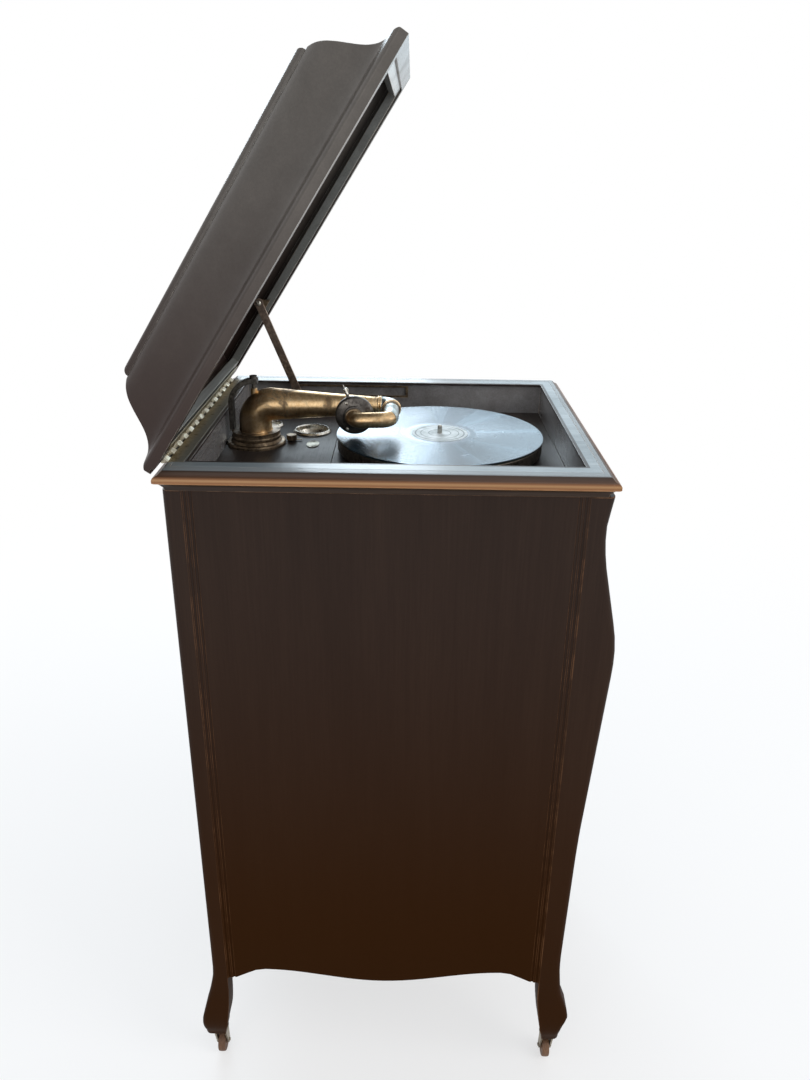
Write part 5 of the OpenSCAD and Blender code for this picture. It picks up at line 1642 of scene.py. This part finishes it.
@dataclass
class Motor:
    """Spring motor, its controls and the crank."""

    wind_y: float = -2.87
    depth: float = -98.0
    face: float = 282.0  # X of the bar's outer run
    arm: float = 125.0
    grip: float = 88.0
    bar_r: float = 5.7
    bow: float = 12.0
    copies: tuple[tuple[str, Metal, float], ...] = (
        ("motor_frame", MOTOR_IRON, 0.5), ("spring_barrel", STEEL, 0.2),
        ("winding_wheel", BRASS, 0.2), ("idler_gears", STEEL, 0.15), ("governor", BRASS, 0.15),
        ("winding_shaft", STEEL, 0.2), ("brake_lever", NICKEL, 0.3), ("speed_knob", BRONZE, 0.25))

    def build(self) -> None:
        """Makes the motor, the controls and the crank."""
        for node, finish, bevel in self.copies:
            SHOP.refine(node, finish, bevel)
        self.crank()

    def crank(self) -> None:
        """Makes the bent bar of the crank and its turned grip."""
        low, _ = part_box("crank")
        start = (LOCAL @ low).x
        y, z, bow = self.wind_y, self.depth, self.bow
        path = [Vector((start, y, z)), Vector((start + 8, y, z)),
                Vector((self.face - bow - 1, y, z))]
        path += arc(Vector((self.face - bow, y, z - bow)), Vector((0, 0, bow)),
                    Vector((bow, 0, 0)))
        path += [Vector((self.face, y, z - self.arm + 8)), Vector((self.face, y, z - self.arm))]
        add_tube("crank_bar", [(p, self.bar_r) for p in path], "crank", NICKEL, 32)
        end = shift(self.face, y, z - self.arm) @ TO_X
        boss = [(0.1, -6.6), (4, -6.6), (6.6, -4.6), (7.2, 0), (6.6, 4.6), (4.6, 6.4)]
        knob = turned(boss, end, 36, 3, 0.5)
        pin = [(0, 0), (4, 0), (4, self.grip + 1.2), (3, self.grip + 2), (0, self.grip + 2)]
        SHOP.build("crank_boss", knob.join(turned(pin, end, 24)), "crank", NICKEL, replace=False)
        line = [(4.1, 0), (8.6, 0.2), (10, 2), (8.5, 6), (10, 20), (13, 40), (14, 58), (12.5, 72),
                (9, self.grip - 4.5), (5, self.grip - 0.6)]
        place = shift(self.face + 6.5, y, z - self.arm) @ TO_X
        SHOP.build("crank_handle", turned(line, place, 44, 4, around=True), "crank_grip", GRIP)


@dataclass
class Casters:
    """Four swivelling casters."""

    count: int = 4
    wheel_r: float = 17.86
    width: float = 13.0

    def build(self) -> None:
        """Makes the forks and the wheels."""
        for i in range(1, self.count + 1):
            SHOP.refine(f"caster_fork_{i}", CASTER, 0.4)
            low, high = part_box(f"caster_wheel_{i}")
            centre = LOCAL @ ((low + high) / 2)
            r, w = self.wheel_r, self.width / 2
            half = [(2.55, w + 0.4), (6, w + 0.3), (6.4, w - 1), (11, w - 1.6), (r - 3, w - 0.6),
                    (r - 1, w - 0.8), (r, w - 3)]
            tread = [(away, -z) for away, z in half] + half[::-1]
            SHOP.build(f"caster_roller_{i}", turned(tread, shift(*centre) @ TO_Y, 44, 3,
                                                    around=True), f"caster_wheel_{i}", ROLLER)


# ---- Stage


@dataclass
class Studio:
    """Camera of the photograph, plain floor, soft lamps and the world."""

    focal_px: float = 867.3
    frame_px: float = 1080.0
    sensor_mm: float = 36.0
    yaw: float = 0.12
    pitch: float = 23.79
    roll: float = 0.86
    eye: tuple[float, float, float] = (-1228.9, -25.0, 346.1)
    clip: tuple[float, float] = (0.05, 60.0)
    floor_half: float = 14.0

    def build(self) -> None:
        """Makes the camera, the floor and the light."""
        self.camera()
        self.floor()
        self.lamps()
        self.world()

    def camera(self) -> None:
        """Puts the camera where the photograph was taken from."""
        yaw, pitch, roll = (math.radians(v) for v in (self.yaw, self.pitch, self.roll))
        ahead = Vector((math.cos(yaw) * math.cos(pitch), math.sin(yaw) * math.cos(pitch),
                        -math.sin(pitch)))
        right = Vector((math.sin(yaw), -math.cos(yaw), 0))
        up = right.cross(ahead)
        right, up = (right * math.cos(roll) + up * math.sin(roll),
                     up * math.cos(roll) - right * math.sin(roll))
        data = bpy.data.cameras.new("camera")
        data.sensor_width = self.sensor_mm
        data.lens = self.focal_px / self.frame_px * self.sensor_mm
        data.clip_start, data.clip_end = self.clip
        camera = bpy.data.objects.new("camera", data)
        camera.matrix_world = Matrix.Translation(PLACE @ Vector(self.eye)) @ Matrix(
            (right, up, -ahead)).transposed().to_4x4()
        bpy.context.scene.collection.objects.link(camera)
        bpy.context.scene.camera = camera

    @staticmethod
    def seen(tree: Tree) -> Sock:
        """Marks the rays from the camera, and those in reflections and glass.

        Args:
            tree: Tree that the nodes go in.

        Returns:
            1 for those rays, 0 for the others.
        """
        path = tree.add("ShaderNodeLightPath", output="Is Camera Ray")
        outputs = path.socket.node.outputs
        total = path + Sock(tree, outputs["Is Glossy Ray"]) + Sock(
            tree, outputs["Is Transmission Ray"])
        return total.lowest(1.0)

    def floor(self) -> None:
        """Makes the plain pale floor."""
        mesh = bpy.data.meshes.new("floor")
        half = self.floor_half
        mesh.from_pydata([(-half, -half, 0), (half, -half, 0), (half, half, 0), (-half, half, 0)],
                         [], [(0, 1, 2, 3)])
        floor = bpy.data.objects.new("floor", mesh)
        bpy.context.scene.collection.objects.link(floor)
        tree = Shader("pale_floor")
        away = tree.add("ShaderNodeVectorMath", {"operation": "LENGTH"}, {0: tree.coords}, output=1)
        lit = tree.add("ShaderNodeBsdfDiffuse", {}, {"Color": srgb(246, 246, 246)})
        glow = tree.add("ShaderNodeEmission", {}, {"Color": (1, 1, 1, 1), "Strength": 1.0})
        seen = self.seen(tree) * (tree.step(away, 0.5, 2.6) * 0.4 + 0.6)
        mixed = tree.add("ShaderNodeMixShader", {}, {0: seen, 1: lit, 2: glow})
        tree.add("ShaderNodeOutputMaterial", {}, {"Surface": mixed})
        mesh.materials.append(tree.material)

    def lamp(self, name: str, place: Sequence[float], aim: Sequence[float], size: float,
             watts: float, colour: Sequence[float]) -> None:
        """Adds one soft lamp.

        Args:
            name: Name of the lamp.
            place: Its place in metres.
            aim: The point it faces.
            size: Side of its square.
            watts: Its power.
            colour: Its colour.
        """
        data = bpy.data.lights.new(name, "AREA")
        data.shape, data.size = "SQUARE", size
        data.energy, data.color = watts, colour
        lamp = bpy.data.objects.new(name, data)
        lamp.matrix_world = Matrix.Translation(place) @ (
            Vector(aim) - Vector(place)).to_track_quat("-Z", "Y").to_matrix().to_4x4()
        bpy.context.scene.collection.objects.link(lamp)

    def lamps(self) -> None:
        """Adds the lamps: two windows beyond the crank's side, and two soft fills."""
        self.lamp("window", (3.6, 0.9, 2.9), (0, 0, 1.0), 2.4, 95, (0.76, 0.9, 1.0))
        self.lamp("window_front", (3.6, -1.1, 2.0), (0, -0.2, 1.0), 1.5, 7, (0.55, 0.83, 1.0))
        self.lamp("front_fill", (-1.6, -3.2, 2.6), (0, 0, 0.8), 2.2, 42, (1.0, 0.96, 0.92))
        self.lamp("side_fill", (-3.4, 1.4, 1.6), (0, 0, 0.6), 2.2, 22, (1.0, 0.95, 0.9))

    def world(self) -> None:
        """Lights from all sides, and shows white to the camera and in reflections."""
        world = bpy.data.worlds.new("studio")
        bpy.context.scene.world = world
        world.use_nodes = True
        tree = Tree(world.node_tree)
        colour = tree.add("ShaderNodeMix", {"data_type": "RGBA"}, {
            0: self.seen(tree), 6: (0.62, 0.64, 0.67, 1), 7: (1, 1, 1, 1)}, output=2)
        back = tree.add("ShaderNodeBackground", {}, {0: colour, 1: 1.0})
        tree.add("ShaderNodeOutputWorld", {}, {0: back})


def set_view() -> None:
    """Sets the plain view transform."""
    bpy.context.scene.view_settings.view_transform = "Standard"


def main() -> None:
    """Builds every sub-assembly and the stage, in order."""
    logging.basicConfig(level=logging.INFO, format="%(name)s: %(message)s")
    set_view()
    for assembly in (Cabinet(), Lid(), Turntable(), Arm(), Motor(), Casters()):
        LOG.info("building %s", type(assembly).__name__)
        assembly.build()
    Studio().build()
    LOG.info("%d pieces made", SHOP.count)


if __name__ == "__main__":
    main()
